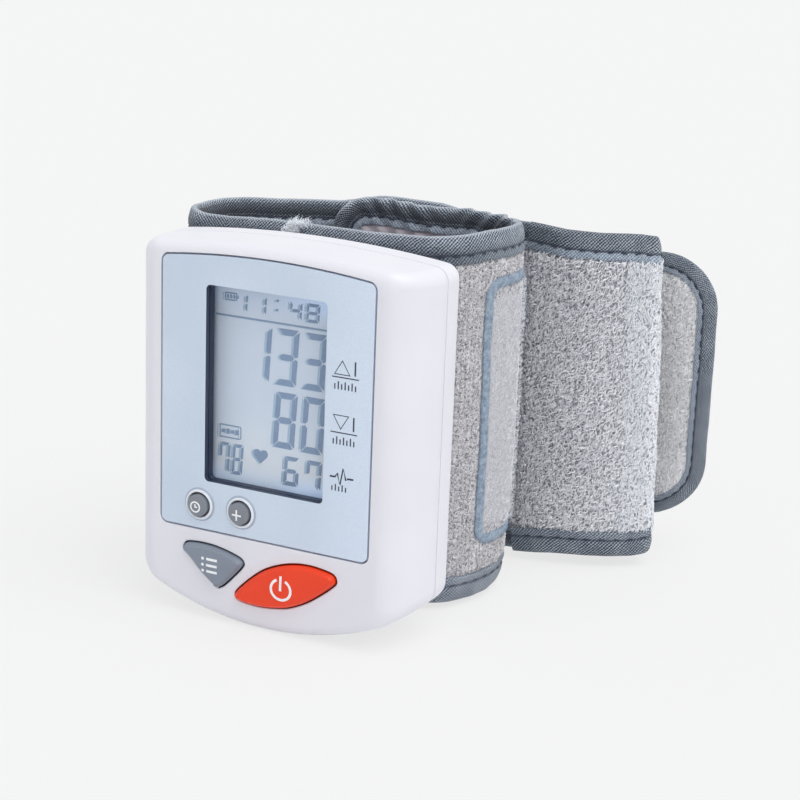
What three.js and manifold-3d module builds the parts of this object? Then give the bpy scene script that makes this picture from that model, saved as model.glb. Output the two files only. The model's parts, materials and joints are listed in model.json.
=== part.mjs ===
import * as THREE from 'three'
import { mergeVertices } from 'three/addons/utils/BufferGeometryUtils.js'
import Module from 'manifold-3d'

// Wrist blood pressure monitor, in millimetres, +Z up.
// X runs across the display, Y goes back from the faceplate, and Z = 0 is the surface it stands on.

const wasm = await Module()
wasm.setup()

// Housing
const face_half_width = 24.2
const flank_width = 6.8
const flank_depth = 12.6
const front_cover_depth = 13
const seam_gap = 0.3
const housing_depth = 18.6
const back_edge_radius = 1.2
const top_arc_radius = 233
const bottom_arc_radius = 61
const top_corner_radius = 3
const bottom_corner_radius = 4.6
const front_edge_radius = 2.3
const front_wall = 3
const cover_wall = 1.8
const fit_gap = 0.3
const cut_overrun = 1

// Rear bulge that holds the cells and carries the cuff
const bulge_half_width = 26
const bulge_bottom = 7.5
const bulge_top_margin = 7.5
const bulge_depth = 22.6
const bulge_corner_radius = 4
const rear_wall = 1.55

// Faceplate and window
const plate_width = 45.6
const plate_top_margin = 3.5
const plate_arch = 1.3
const plate_bottom = 18.5
const plate_thickness = 1.2
const plate_corner_radius = 1.4
const plate_groove = 0.35
const window_width = 26
const window_height = 38.7
const window_rise = 9.85
const window_top_margin = 4.75
const window_corner_radius = 0.9

// Display stack behind the window
const bezel_rim = 1.7
const bezel_depth = 1.5
const lens_thickness = 0.6
const lcd_margin = 0.8
const lcd_thickness = 1.6
const holder_wall = 0.6
const zebra_depth = 2
const zebra_height = 2.2
const board_thickness = 1.2
const board_half_width = 26.2
const board_bottom = 8.6
const board_top_margin = 4.3
const board_corner_cut = 5.5

// Round keys on the faceplate
const round_key_radius = 2.2
const round_key_height = 1.3
const round_key_dome = 0.5
const round_key_clearance = 0.3
const round_key_dome_shares = [[0.55, 0.25], [0.88, 0.65], [1, 1.4]]
const lip_width = 0.85
const lip_height = 0.55
const clock_key_x = -13.95
const plus_key_x = -4.65
const round_key_z = 23.4

// Large keys below the faceplate
const memory_key_width = 13.35
const memory_key_height = 8
const memory_key_x = -10.7
const memory_key_z = 11.42
const power_key_width = 21.9
const power_key_height = 10.15
const power_key_x = 5.4
const power_key_z = 10.35
const large_key_proud = 1.1
const large_key_bevel = 0.7
const large_key_clearance = 0.3
const key_travel = 0.8
const key_flange = 0.5
const key_flange_thickness = 0.8
const key_stem_radius = 1.2
const key_stem_length = 0.5
const switch_size = 4.5
const switch_height = 1.8
const switch_plunger_radius = 1.1

// Cells, their contacts and their door
const cell_radius = 5.25
const cell_length = 44.5
const cell_nub_radius = 1.9
const cell_nub_length = 0.8
const cell_gap = 0.4
const cell_bottom = 15.5
const contact_thickness = 0.4
const contact_width = 8
const spring_foot_radius = 3
const spring_tip_radius = 1.8
const door_margin = 1.6
const door_lap_width = 3

// Air system
const pump_motor_radius = 5
const pump_motor_length = 17
const pump_x = 17
const pump_shaft_radius = 0.75
const pump_shaft_length = 2
const pump_head_width = 13
const pump_head_height = 13
const pump_head_depth = 10.2
const nipple_radius = 1.3
const nipple_length = 3
const tube_radius = 1.5
const tube_bend_radius = 3.2
const tube_bend_steps = 6
const tube_sides = 10
const manifold_size = 6
const valve_radius = 3.4
const valve_length = 8.5
const valve_head_gap = 2.5
const sensor_size = 8
const buzzer_radius = 4.6
const buzzer_height = 2.6
const buzzer_x = 4
const buzzer_top_margin = 11
const chip_size = 9
const chip_height = 1.2
const chip_x = 4
const chip_z = 40
const port_x = 4
const port_z = 22
const port_radius = 2
const port_bore = 0.9

// Screws and their posts
const post_radius = 2.6
const post_bore_radius = 1
const screw_radius = 0.8
const screw_head_radius = 1.7
const screw_head_height = 1.1
const screw_x = 22.6
const screw_low_z = 10.6
const post_margin = 0.5
const screw_bite_depth = 5

// Cuff and strap
const cuff_height = 75.8
const strap_thickness = 2.4
const binding_thickness = 3.1
const binding_height = 6.2
const cuff_plate_thickness = 0.8
const cuff_plate_half_width = 20
const cuff_plate_height = 52
const stiffener_thickness = 0.8
const bladder_thickness = 1.6
const bladder_height = 56
const lining_thickness = 1.2
const lining_margin = 3
const pad_left_length = 25
const pad_right_length = 30
const patch_thickness = 0.6
const patch_height = 53.6
const patch_start = 31
const patch_length = 38
const strap_band_height = 71
const strap_fold_height = 69.6
const tab_height = 58.2
const tab_corner_radius = 12.1
const inner_corner_radius = 6.5
const tip_gap = 1
const tip_bend_radius = 9
const tip_run = 6
const hinge_gap = 0.4

// Route of the strap seen from above, as straight runs and round bends
const front_half_run = 6.3
const soft_bend_radius = 60
const soft_bend_angle = 10
const front_bend_radius = 14
const front_bend_angle = 50
const side_bend_radius = 24
const inner_layer_spacing = 6.4
const front_left_run = 28.9
const left_corner_radius = 5.5
const left_side_run = 3
const left_bend_radius = 12
const left_bend_angle = 50
const diagonal_run = 28
const back_bend_radius = 10
const back_bend_angle = 35
const back_run = 34
const band_bend_radius = 31
const band_bend_angle = 37
const fold_gap = 1.2
const return_run = 23
const return_angle = 8
const tab_fold_gap = 1.4
const tab_run = 34.5
const tab_angle = 2

// Outlines of the large keys, as shares of their width and height about their centres
const memory_outline_shares = [
  [-0.495, 0.37], [-0.44, 0.46], [-0.25, 0.5], [0, 0.49], [0.24, 0.42], [0.44, 0.32],
  [0.5, 0.22], [0.47, 0.1], [0.33, -0.17], [0.18, -0.43], [0.115, -0.495], [0.06, -0.5],
  [-0.2, -0.18], [-0.39, 0.13], [-0.5, 0.27]
]
const power_outline_shares = [
  [-0.5, -0.38], [-0.467, -0.26], [-0.345, 0], [-0.214, 0.22], [-0.072, 0.37], [0.09, 0.47],
  [0.255, 0.5], [0.415, 0.46], [0.482, 0.41], [0.5, 0.31], [0.474, 0.22], [0.348, -0.01],
  [0.21, -0.22], [0.06, -0.38], [-0.06, -0.45], [-0.23, -0.5], [-0.395, -0.49], [-0.48, -0.45]
]

// Fineness of curved surfaces
const arc_steps = 8
const fillet_steps = 4
const flank_steps = 8
const outline_steps = 30
const round_sides = 24
const small_sides = 14
const bend_step_degrees = 9
const nose_angles = [18, 40, 65]

// Heights that follow from the cells, the pump and the window: the tallest sets the housing's height
const cell_top = cell_bottom + cell_length
const upper_contact_low = cell_top + cell_nub_length + fit_gap
const cells_top = upper_contact_low + contact_thickness
const air_stack_length = valve_radius + valve_head_gap + pump_head_height + fit_gap + pump_motor_length
const screw_high_z = Math.max(cells_top, port_z + air_stack_length) + 2 * fit_gap + post_radius
const bulge_top = screw_high_z + post_radius + post_margin
const plate_height = window_rise + window_height + window_top_margin
const plate_top = plate_bottom + plate_height
const housing_height = Math.max(plate_top + plate_top_margin, bulge_top + bulge_top_margin)
const board_top = housing_height - board_top_margin
const buzzer_z = board_top - buzzer_top_margin
const pump_motor_bottom = screw_high_z - post_radius - 2 * fit_gap - pump_motor_length

const corner_shares = [0, 18, 36, 54, 72, 90].map((angle) => 1 - Math.cos(angle * Math.PI / 180))
const same_place = 1e-6
const degrees = Math.PI / 180
const plastic_white = { color: 0xe6e5ee, roughness: 0.35, metalness: 0 }
const plate_blue = { color: 0xc8d4e6, roughness: 0.4, metalness: 0.1 }
const plastic_dark = { color: 0x2c3036, roughness: 0.5, metalness: 0 }
const key_grey = { color: 0x8d949e, roughness: 0.4, metalness: 0.1 }
const memory_grey = { color: 0x6e7a8a, roughness: 0.35, metalness: 0 }
const power_orange = { color: 0xe64b2d, roughness: 0.35, metalness: 0 }
const clear_plastic = { color: 0xeef3f7, roughness: 0.05, metalness: 0 }
const lcd_grey = { color: 0xbecbd9, roughness: 0.3, metalness: 0 }
const rubber_grey = { color: 0x55585c, roughness: 0.8, metalness: 0 }
const board_green = { color: 0x2f6b45, roughness: 0.5, metalness: 0 }
const steel = { color: 0xb9bcc2, roughness: 0.3, metalness: 1 }
const cell_jacket = { color: 0x4d6f8f, roughness: 0.35, metalness: 0.4 }
const pile_grey = { color: 0xb9b9be, roughness: 1, metalness: 0 }
const binding_slate = { color: 0x5f6e80, roughness: 0.9, metalness: 0 }
const lining_pink = { color: 0xd9cfd6, roughness: 0.95, metalness: 0 }
const tube_clear = { color: 0xd9dcdd, roughness: 0.3, metalness: 0 }

const part = new THREE.Group()

function meshOf(name, geometry, finish) {
  const mesh = new THREE.Mesh(geometry, new THREE.MeshStandardMaterial(finish))
  mesh.name = name
  part.add(mesh)
  return mesh
}

// Solids for joining and cutting
function solidOf(geometry) {
  const bare = geometry.clone()
  bare.deleteAttribute('normal')
  bare.deleteAttribute('uv')
  const merged = mergeVertices(bare, 1e-5)
  const index = merged.index.array
  const vertProperties = Float32Array.from(merged.attributes.position.array)
  return new wasm.Manifold(new wasm.Mesh({ numProp: 3, vertProperties, triVerts: Uint32Array.from(index) }))
}

function geometryOf(solid) {
  const mesh = solid.getMesh()
  const geometry = new THREE.BufferGeometry()
  geometry.setAttribute('position', new THREE.BufferAttribute(Float32Array.from(mesh.vertProperties), 3))
  geometry.setIndex(new THREE.BufferAttribute(Uint32Array.from(mesh.triVerts), 1))
  geometry.computeVertexNormals()
  return geometry
}

function cut(base, ...tools) {
  return tools.reduce((left, tool) => left.subtract(tool), base)
}

function join(base, ...others) {
  return others.reduce((sum, other) => sum.add(other), base)
}

// A closed body through rings of equal count, each ring a list of Vector3, with the faces of its end caps
function stacked(rings, capFaces) {
  const count = rings[0].length
  const positions = rings.flatMap((ring) => ring.flatMap((p) => [p.x, p.y, p.z]))
  const index = []
  for (let k = 0; k + 1 < rings.length; k++) {
    for (let i = 0; i < count; i++) {
      const a = k * count + i
      const b = k * count + (i + 1) % count
      index.push(a, b, b + count, a, b + count, a + count)
    }
  }
  const last = (rings.length - 1) * count
  for (const [i, j, k] of capFaces) index.push(i, k, j, last + i, last + j, last + k)
  return outward(positions, index)
}

// Rings that lie flat across Y may have any outline, and other rings are convex
function loft(rings) {
  const flat = rings[0].map((p) => new THREE.Vector2(p.x, p.z))
  const faces = THREE.ShapeUtils.triangulateShape(flat, [])
  return stacked(rings, THREE.ShapeUtils.isClockWise(flat) ? faces.map((face) => face.reverse()) : faces)
}

function sweep(rings) {
  return stacked(rings, rings[0].slice(2).map((p, i) => [0, i + 1, i + 2]))
}

// Turns the faces of a closed mesh outwards, whichever way its rings ran
function outward(positions, index) {
  const p = positions
  let volume = 0
  for (let t = 0; t < index.length; t += 3) {
    const [i, j, k] = [index[t] * 3, index[t + 1] * 3, index[t + 2] * 3]
    volume += p[i] * (p[j + 1] * p[k + 2] - p[j + 2] * p[k + 1])
    volume += p[i + 1] * (p[j + 2] * p[k] - p[j] * p[k + 2])
    volume += p[i + 2] * (p[j] * p[k + 1] - p[j + 1] * p[k])
  }
  if (volume < 0) {
    for (let t = 0; t < index.length; t += 3) [index[t + 1], index[t + 2]] = [index[t + 2], index[t + 1]]
  }
  const geometry = new THREE.BufferGeometry()
  geometry.setAttribute('position', new THREE.Float32BufferAttribute(positions, 3))
  geometry.setIndex(index)
  geometry.computeVertexNormals()
  return geometry
}

// A flat outline in X and Z, drawn out from y0 to y1
function prism(points, y0, y1, holes = []) {
  const shape = new THREE.Shape(points)
  for (const hole of holes) shape.holes.push(new THREE.Path(hole))
  const geometry = new THREE.ExtrudeGeometry(shape, { depth: y1 - y0, bevelEnabled: false })
  geometry.rotateX(Math.PI / 2)
  geometry.translate(0, y1, 0)
  return geometry
}

function block(x0, x1, y0, y1, z0, z1) {
  const geometry = new THREE.BoxGeometry(x1 - x0, y1 - y0, z1 - z0)
  geometry.translate((x0 + x1) / 2, (y0 + y1) / 2, (z0 + z1) / 2)
  return geometry
}

// Cylinders along Y, for keys and screws, and along Z, for cells and hinges
function rodY(radius, x, z, y0, y1, sides = round_sides) {
  const geometry = new THREE.CylinderGeometry(radius, radius, y1 - y0, sides)
  geometry.translate(x, (y0 + y1) / 2, z)
  return geometry
}

function rodZ(radius, x, y, z0, z1, sides = round_sides) {
  const geometry = new THREE.CylinderGeometry(radius, radius, z1 - z0, sides)
  geometry.rotateX(Math.PI / 2)
  geometry.translate(x, y, (z0 + z1) / 2)
  return geometry
}

function rodX(radius, x0, x1, y, z, sides = round_sides) {
  const geometry = new THREE.CylinderGeometry(radius, radius, x1 - x0, sides)
  geometry.rotateZ(Math.PI / 2)
  geometry.translate((x0 + x1) / 2, y, z)
  return geometry
}

// A turned profile of [radius, distance] pairs about an axis along Y
function turnedY(profile, x, z, y0, sides = round_sides) {
  const points = profile.map(([r, d]) => new THREE.Vector2(r, d))
  const geometry = new THREE.LatheGeometry(points, sides)
  geometry.translate(x, y0, z)
  return geometry
}

function roundedBox(width, height, radius, cx, cz) {
  const points = []
  for (const [sx, sz, start] of [[1, 1, 0], [-1, 1, 90], [-1, -1, 180], [1, -1, 270]]) {
    for (let i = 0; i <= fillet_steps; i++) {
      const angle = (start + 90 * i / fillet_steps) * degrees
      points.push(new THREE.Vector2(
        cx + sx * (width / 2 - radius) + radius * Math.cos(angle),
        cz + sz * (height / 2 - radius) + radius * Math.sin(angle)
      ))
    }
  }
  return points
}

function splineOutline(shares, width, height, cx, cz) {
  const knots = shares.map(([sx, sz]) => new THREE.Vector3(cx + sx * width, 0, cz + sz * height))
  const curve = new THREE.CatmullRomCurve3(knots, true)
  return curve.getPoints(outline_steps).slice(0, outline_steps).map((p) => new THREE.Vector2(p.x, p.z))
}

// The outline grown outwards, or shrunk where the distance is negative
function grown(points, distance) {
  const turn = Math.sign(THREE.ShapeUtils.area(points))
  return points.map((p, i) => {
    const before = points[(i + points.length - 1) % points.length]
    const after = points[(i + 1) % points.length]
    const along = after.clone().sub(before).normalize()
    return new THREE.Vector2(p.x + turn * distance * along.y, p.y - turn * distance * along.x)
  })
}

// Half of the housing's outline, from the middle of the bottom arc to the middle of the top arc
function halfOutline(halfWidth, inset, extra) {
  const low = inset
  const high = housing_height - inset
  const lowRadius = bottom_arc_radius
  const highRadius = top_arc_radius
  const lowFillet = Math.max(bottom_corner_radius - extra, cover_wall)
  const highFillet = Math.max(top_corner_radius - extra, cover_wall)
  const lowX = halfWidth - lowFillet
  const lowZ = low + lowRadius - Math.sqrt((lowRadius - lowFillet) ** 2 - lowX ** 2)
  const highX = halfWidth - highFillet
  const highZ = high - highRadius + Math.sqrt((highRadius - highFillet) ** 2 - highX ** 2)
  const lowAngle = Math.atan2(lowX, low + lowRadius - lowZ)
  const highAngle = Math.atan2(highX, highZ - high + highRadius)
  const points = []
  for (let i = 0; i < arc_steps; i++) {
    const angle = lowAngle * i / arc_steps
    points.push([lowRadius * Math.sin(angle), low + lowRadius * (1 - Math.cos(angle))])
  }
  for (let i = 0; i <= fillet_steps; i++) {
    const angle = lowAngle + (Math.PI / 2 - lowAngle) * i / fillet_steps
    points.push([lowX + lowFillet * Math.sin(angle), lowZ - lowFillet * Math.cos(angle)])
  }
  for (let i = 0; i <= fillet_steps; i++) {
    const angle = Math.PI / 2 - (Math.PI / 2 - highAngle) * i / fillet_steps
    points.push([highX + highFillet * Math.sin(angle), highZ + highFillet * Math.cos(angle)])
  }
  for (let i = 1; i <= arc_steps; i++) {
    const angle = highAngle * (1 - i / arc_steps)
    points.push([highRadius * Math.sin(angle), high - highRadius * (1 - Math.cos(angle))])
  }
  return points
}

function housingRing(y, halfWidth, inset, extra = 0) {
  const right = halfOutline(halfWidth, inset, extra)
  const left = right.slice(1, -1).reverse().map(([x, z]) => [-x, z])
  return [...right, ...left].map(([x, z]) => new THREE.Vector3(x, y, z))
}

function flankHalfWidth(y) {
  const share = Math.min(y / flank_depth, 1)
  return face_half_width + flank_width * Math.sqrt(1 - (1 - share) ** 2)
}

function frontInset(y) {
  const rest = Math.max(front_edge_radius - y, 0)
  return front_edge_radius - Math.sqrt(front_edge_radius ** 2 - rest ** 2)
}

const side_half_width = flankHalfWidth(flank_depth)
const rear_start = front_cover_depth + seam_gap

function flankStations(from, to) {
  const stations = [from]
  for (let i = 0; i <= flank_steps; i++) {
    const y = flank_depth * (1 - Math.cos(Math.PI / 2 * i / flank_steps))
    if (y > from + fit_gap / 2 && y < to - fit_gap / 2) stations.push(y)
  }
  return [...stations, to]
}

// The outside of the housing from y0 to y1, and its hollow, which the cover walls leave
function outside(y0, y1) {
  const rings = flankStations(y0, Math.min(y1, housing_depth - back_edge_radius))
    .map((y) => housingRing(y, flankHalfWidth(y), frontInset(y)))
  if (y1 > housing_depth - back_edge_radius) {
    for (let i = 1; i <= fillet_steps; i++) {
      const angle = Math.PI / 2 * i / fillet_steps
      const inset = back_edge_radius * (1 - Math.cos(angle))
      const y = housing_depth - back_edge_radius * (1 - Math.sin(angle))
      rings.push(housingRing(y, side_half_width - inset, inset, inset))
    }
  }
  return solidOf(loft(rings))
}

function hollow(y0, y1) {
  const rings = flankStations(y0, y1)
    .map((y) => housingRing(y, flankHalfWidth(y) - cover_wall, frontInset(y) + cover_wall, cover_wall))
  return solidOf(loft(rings))
}

function bulge(y0, y1, inset) {
  const width = 2 * (bulge_half_width - inset)
  const height = bulge_top - bulge_bottom - 2 * inset
  const radius = bulge_corner_radius - inset
  const middle = (bulge_top + bulge_bottom) / 2
  return solidOf(prism(roundedBox(width, height, radius, 0, middle), y0, y1))
}

// Places in the display stack, front to back
const pocket_depth = plate_thickness + fit_gap
const bezel_front = pocket_depth
const bezel_back = bezel_front + bezel_depth
const lens_front = bezel_back + fit_gap
const lens_back = lens_front + lens_thickness
const lcd_front = lens_back + fit_gap
const lcd_back = lcd_front + lcd_thickness
const zebra_front = lcd_back + fit_gap
const zebra_back = zebra_front + zebra_depth
const board_front = zebra_back + fit_gap
const board_back = board_front + board_thickness
const window_z = plate_bottom + window_rise + window_height / 2
const key_inner_front = front_wall + fit_gap

// Faceplate outline: straight sides and foot, gently arched top
function plateOutline(extra) {
  const half = plate_width / 2 + extra
  const low = plate_bottom - extra
  const high = plate_top + extra
  const radius = plate_corner_radius + extra
  const points = []
  function corner(cx, cz, start) {
    for (let i = 0; i <= fillet_steps; i++) {
      const angle = (start + 90 * i / fillet_steps) * degrees
      points.push(new THREE.Vector2(cx + radius * Math.cos(angle), cz + radius * Math.sin(angle)))
    }
  }
  corner(radius - half, low + radius, 180)
  corner(half - radius, low + radius, 270)
  corner(half - radius, high - radius, 0)
  for (let i = 1; i < arc_steps; i++) {
    const share = 2 * i / arc_steps - 1
    points.push(new THREE.Vector2(-share * (half - radius), high + plate_arch * (1 - share * share)))
  }
  corner(radius - half, high - radius, 90)
  return points
}

const window_outline = roundedBox(window_width, window_height, window_corner_radius, 0, window_z)
const bezel_outline = grown(window_outline, bezel_rim)
const memory_outline = splineOutline(
  memory_outline_shares, memory_key_width, memory_key_height, memory_key_x, memory_key_z
)
const power_outline = splineOutline(
  power_outline_shares, power_key_width, power_key_height, power_key_x, power_key_z
)

// Cells stand side by side in the bulge, behind the circuit board
const cell_y = bulge_depth - rear_wall - fit_gap - cell_radius
const cell_left_x = -(bulge_half_width - cover_wall - fit_gap - cell_radius)
const cell_right_x = cell_left_x + 2 * cell_radius + cell_gap

// Opening for the battery door on the left side
const door_box = {
  x0: -(side_half_width + cut_overrun),
  x1: -(bulge_half_width - door_lap_width),
  y0: cell_y - cell_radius - fit_gap,
  y1: bulge_depth + cut_overrun,
  z0: cell_bottom - door_margin,
  z1: cell_top + door_margin
}

function doorBlock(extra) {
  const b = door_box
  return solidOf(block(b.x0, b.x1 + extra, b.y0 - extra, b.y1, b.z0 - extra, b.z1 + extra))
}

const screw_places = [
  [-screw_x, screw_low_z], [screw_x, screw_low_z], [-screw_x, screw_high_z], [screw_x, screw_high_z]
]
const screw_head_seat = housing_depth - cover_wall

function frontCover() {
  const shell = cut(outside(0, front_cover_depth), hollow(front_wall, front_cover_depth + cut_overrun))
  const boreStart = front_cover_depth - screw_bite_depth - cut_overrun
  const posts = screw_places.map(([x, z]) => cut(
    solidOf(rodY(post_radius, x, z, front_wall - fit_gap, front_cover_depth, small_sides)),
    solidOf(rodY(post_bore_radius, x, z, boreStart, front_cover_depth + cut_overrun, small_sides))
  ).intersect(outside(0, front_cover_depth)))
  const openings = [
    prism(plateOutline(plate_groove), -cut_overrun, pocket_depth),
    prism(grown(bezel_outline, fit_gap), 0, front_wall + cut_overrun),
    prism(grown(memory_outline, large_key_clearance), -cut_overrun, front_wall + cut_overrun),
    prism(grown(power_outline, large_key_clearance), -cut_overrun, front_wall + cut_overrun),
    rodY(round_key_radius + round_key_clearance, clock_key_x, round_key_z, 0, front_wall + cut_overrun),
    rodY(round_key_radius + round_key_clearance, plus_key_x, round_key_z, 0, front_wall + cut_overrun)
  ].map(solidOf)
  return cut(join(shell, ...posts), ...openings, doorBlock(fit_gap))
}

function rearCover() {
  const shell = join(outside(rear_start, housing_depth), bulge(rear_start, bulge_depth, 0))
  const space = join(
    hollow(rear_start - cut_overrun, housing_depth - cover_wall),
    bulge(rear_start - cut_overrun, bulge_depth - rear_wall, cover_wall)
  )
  const postEnd = bulge_depth - rear_wall / 2
  const posts = screw_places.map(([x, z]) => solidOf(
    rodY(post_radius, x, z, rear_start, postEnd, small_sides)
  ))
  const boreStart = rear_start - cut_overrun
  const boreEnd = bulge_depth + cut_overrun
  const headHole = screw_head_radius + fit_gap
  const bores = screw_places.flatMap(([x, z]) => [
    solidOf(rodY(post_bore_radius, x, z, boreStart, boreEnd, small_sides)),
    solidOf(rodY(headHole, x, z, screw_head_seat, boreEnd, small_sides))
  ])
  const port = solidOf(rodY(port_radius + fit_gap, port_x, port_z, housing_depth, bulge_depth + cut_overrun))
  return cut(join(cut(shell, space), ...posts), ...bores, port, doorBlock(fit_gap))
}

function batteryDoor() {
  const skin = cut(
    join(outside(0, housing_depth), bulge(rear_start, bulge_depth, 0)),
    hollow(front_wall, housing_depth - cover_wall),
    bulge(rear_start - cut_overrun, bulge_depth - rear_wall, cover_wall)
  )
  return skin.intersect(doorBlock(0))
}

meshOf('front_cover', geometryOf(frontCover()), plastic_white)
meshOf('rear_cover', geometryOf(rearCover()), plastic_white)
meshOf('battery_door', geometryOf(batteryDoor()), plastic_white)

// Screws from the rear cover into the posts of the front cover
screw_places.forEach(([x, z], i) => {
  const tip = front_cover_depth - screw_bite_depth
  const neck = screw_head_seat + fit_gap
  const profile = [
    [0, 0], [screw_radius, 0], [screw_radius, neck - tip], [screw_head_radius, neck - tip],
    [screw_head_radius, neck - tip + screw_head_height], [0, neck - tip + screw_head_height]
  ]
  meshOf('cover_screw_' + (i + 1), turnedY(profile, x, z, tip, small_sides), steel)
})

// Faceplate with a raised lip round each round key
function faceplate() {
  const holeRadius = round_key_radius + round_key_clearance
  const plate = solidOf(prism(plateOutline(0), 0, plate_thickness, [window_outline]))
  const lipProfile = [
    [holeRadius - fit_gap, plate_thickness / 2], [holeRadius - fit_gap, -lip_height / 2],
    [holeRadius + lip_width / 3, -lip_height], [holeRadius + 2 * lip_width / 3, -lip_height],
    [holeRadius + lip_width, 0], [holeRadius + lip_width, plate_thickness / 2],
    [holeRadius - fit_gap, plate_thickness / 2]
  ]
  const places = [clock_key_x, plus_key_x]
  const lips = places.map((x) => solidOf(turnedY(lipProfile, x, round_key_z, 0)))
  const holeStart = -lip_height - cut_overrun
  const holeEnd = plate_thickness + cut_overrun
  const holes = places.map((x) => solidOf(rodY(holeRadius, x, round_key_z, holeStart, holeEnd)))
  return cut(join(plate, ...lips), ...holes)
}
meshOf('faceplate', geometryOf(faceplate()), plate_blue)

// Display stack
meshOf('lcd_bezel', prism(bezel_outline, bezel_front, bezel_back, [window_outline]), plastic_dark)
meshOf('display_lens', prism(grown(bezel_outline, -lcd_margin), lens_front, lens_back), clear_plastic)
const lcd_half_width = window_width / 2 + lcd_margin
const lcd_low = window_z - window_height / 2 - lcd_margin
const lcd_high = window_z + window_height / 2 + lcd_margin
meshOf('lcd_panel', block(-lcd_half_width, lcd_half_width, lcd_front, lcd_back, lcd_low, lcd_high), lcd_grey)
const holder_inner = roundedBox(
  window_width + 2 * (lcd_margin + fit_gap), window_height + 2 * (lcd_margin + fit_gap), fit_gap, 0, window_z
)
const holder_outer = grown(holder_inner, holder_wall)
meshOf('lcd_holder', prism(holder_outer, lcd_front, zebra_back, [holder_inner]), plastic_dark)
function connectorStrip(low) {
  return block(-lcd_half_width, lcd_half_width, zebra_front, zebra_back, low, low + zebra_height)
}
meshOf('connector_strip_top', connectorStrip(lcd_high - zebra_height), rubber_grey)
meshOf('connector_strip_bottom', connectorStrip(lcd_low), rubber_grey)

// Circuit board with cut corners and holes for the posts
function circuitBoard() {
  const w = board_half_width
  const c = board_corner_cut
  const points = [
    [c - w, board_bottom], [w - c, board_bottom], [w, board_bottom + c], [w, board_top - c],
    [w - c, board_top], [c - w, board_top], [-w, board_top - c], [-w, board_bottom + c]
  ].map(([x, z]) => new THREE.Vector2(x, z))
  const holes = screw_places.map(([x, z]) => solidOf(
    rodY(post_radius + fit_gap, x, z, board_front - cut_overrun, board_back + cut_overrun)
  ))
  return cut(solidOf(prism(points, board_front, board_back)), ...holes)
}
meshOf('circuit_board', geometryOf(circuitBoard()), board_green)

// Tactile switches on the board's front, one behind each key
const switch_back = board_front - fit_gap
const switch_front = switch_back - switch_height
const plunger_front = key_inner_front + key_flange_thickness + key_stem_length + key_travel + fit_gap
const key_places = {
  clock: [clock_key_x, round_key_z],
  plus: [plus_key_x, round_key_z],
  memory: [memory_key_x, memory_key_z],
  power: [power_key_x, power_key_z]
}
for (const [name, [x, z]] of Object.entries(key_places)) {
  const half = switch_size / 2
  const body = solidOf(block(x - half, x + half, switch_front, switch_back, z - half, z + half))
  const plunger = solidOf(
    rodY(switch_plunger_radius, x, z, plunger_front, switch_front + fit_gap, small_sides)
  )
  meshOf(name + '_switch', geometryOf(join(body, plunger)), plastic_dark)
}

// Round keys: domed cap, retaining flange and stem in one turned solid
for (const [name, x] of [['clock_button', clock_key_x], ['plus_button', plus_key_x]]) {
  const back = key_inner_front + key_flange_thickness
  const r = round_key_radius
  const profile = [
    [0, -round_key_height],
    ...round_key_dome_shares.map(([across, down]) => [r * across, round_key_dome * down - round_key_height]),
    [r, key_inner_front], [r + key_flange, key_inner_front], [r + key_flange, back],
    [key_stem_radius, back], [key_stem_radius, back + key_stem_length], [0, back + key_stem_length]
  ]
  meshOf(name, turnedY(profile, x, round_key_z, 0), key_grey)
}

// Large keys: bevelled cap in the cover's opening, flange behind the wall, stem to the switch
function largeKey(outline, width, height, [x, z]) {
  const shares = [1 - 2 * large_key_bevel / width, 1 - 2 * large_key_bevel / height]
  const rings = [
    [-large_key_proud, shares], [large_key_bevel - large_key_proud, [1, 1]], [key_inner_front, [1, 1]]
  ].map(([y, [sx, sz]]) => outline.map((p) => new THREE.Vector3(x + sx * (p.x - x), y, z + sz * (p.y - z))))
  const back = key_inner_front + key_flange_thickness
  const flange = solidOf(prism(grown(outline, large_key_clearance + key_flange), key_inner_front, back))
  const stem = solidOf(rodY(key_stem_radius, x, z, back - fit_gap, back + key_stem_length, small_sides))
  return join(solidOf(loft(rings)), flange, stem)
}
meshOf('memory_button', geometryOf(
  largeKey(memory_outline, memory_key_width, memory_key_height, key_places.memory)
), memory_grey)
meshOf('power_button', geometryOf(
  largeKey(power_outline, power_key_width, power_key_height, key_places.power)
), power_orange)

// Two cells side by side, one the other way up
function cell(x, up) {
  const profile = [
    [0, 0], [cell_radius, 0], [cell_radius, cell_length], [cell_nub_radius, cell_length],
    [cell_nub_radius, cell_length + cell_nub_length], [0, cell_length + cell_nub_length]
  ].map(([r, d]) => new THREE.Vector2(r, d))
  const geometry = new THREE.LatheGeometry(profile, round_sides)
  geometry.rotateX(up * Math.PI / 2)
  geometry.translate(x, cell_y, up > 0 ? cell_bottom : cell_top)
  return geometry
}
meshOf('battery_1', cell(cell_left_x, 1), cell_jacket)
meshOf('battery_2', cell(cell_right_x, -1), cell_jacket)

// Contacts: a flat plate that meets a nub, and a plate with a raised spring cone that meets a flat end
function contactPlate(x0, x1, z0) {
  const half = contact_width / 2
  return solidOf(block(x0, x1, cell_y - half, cell_y + half, z0, z0 + contact_thickness))
}

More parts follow.
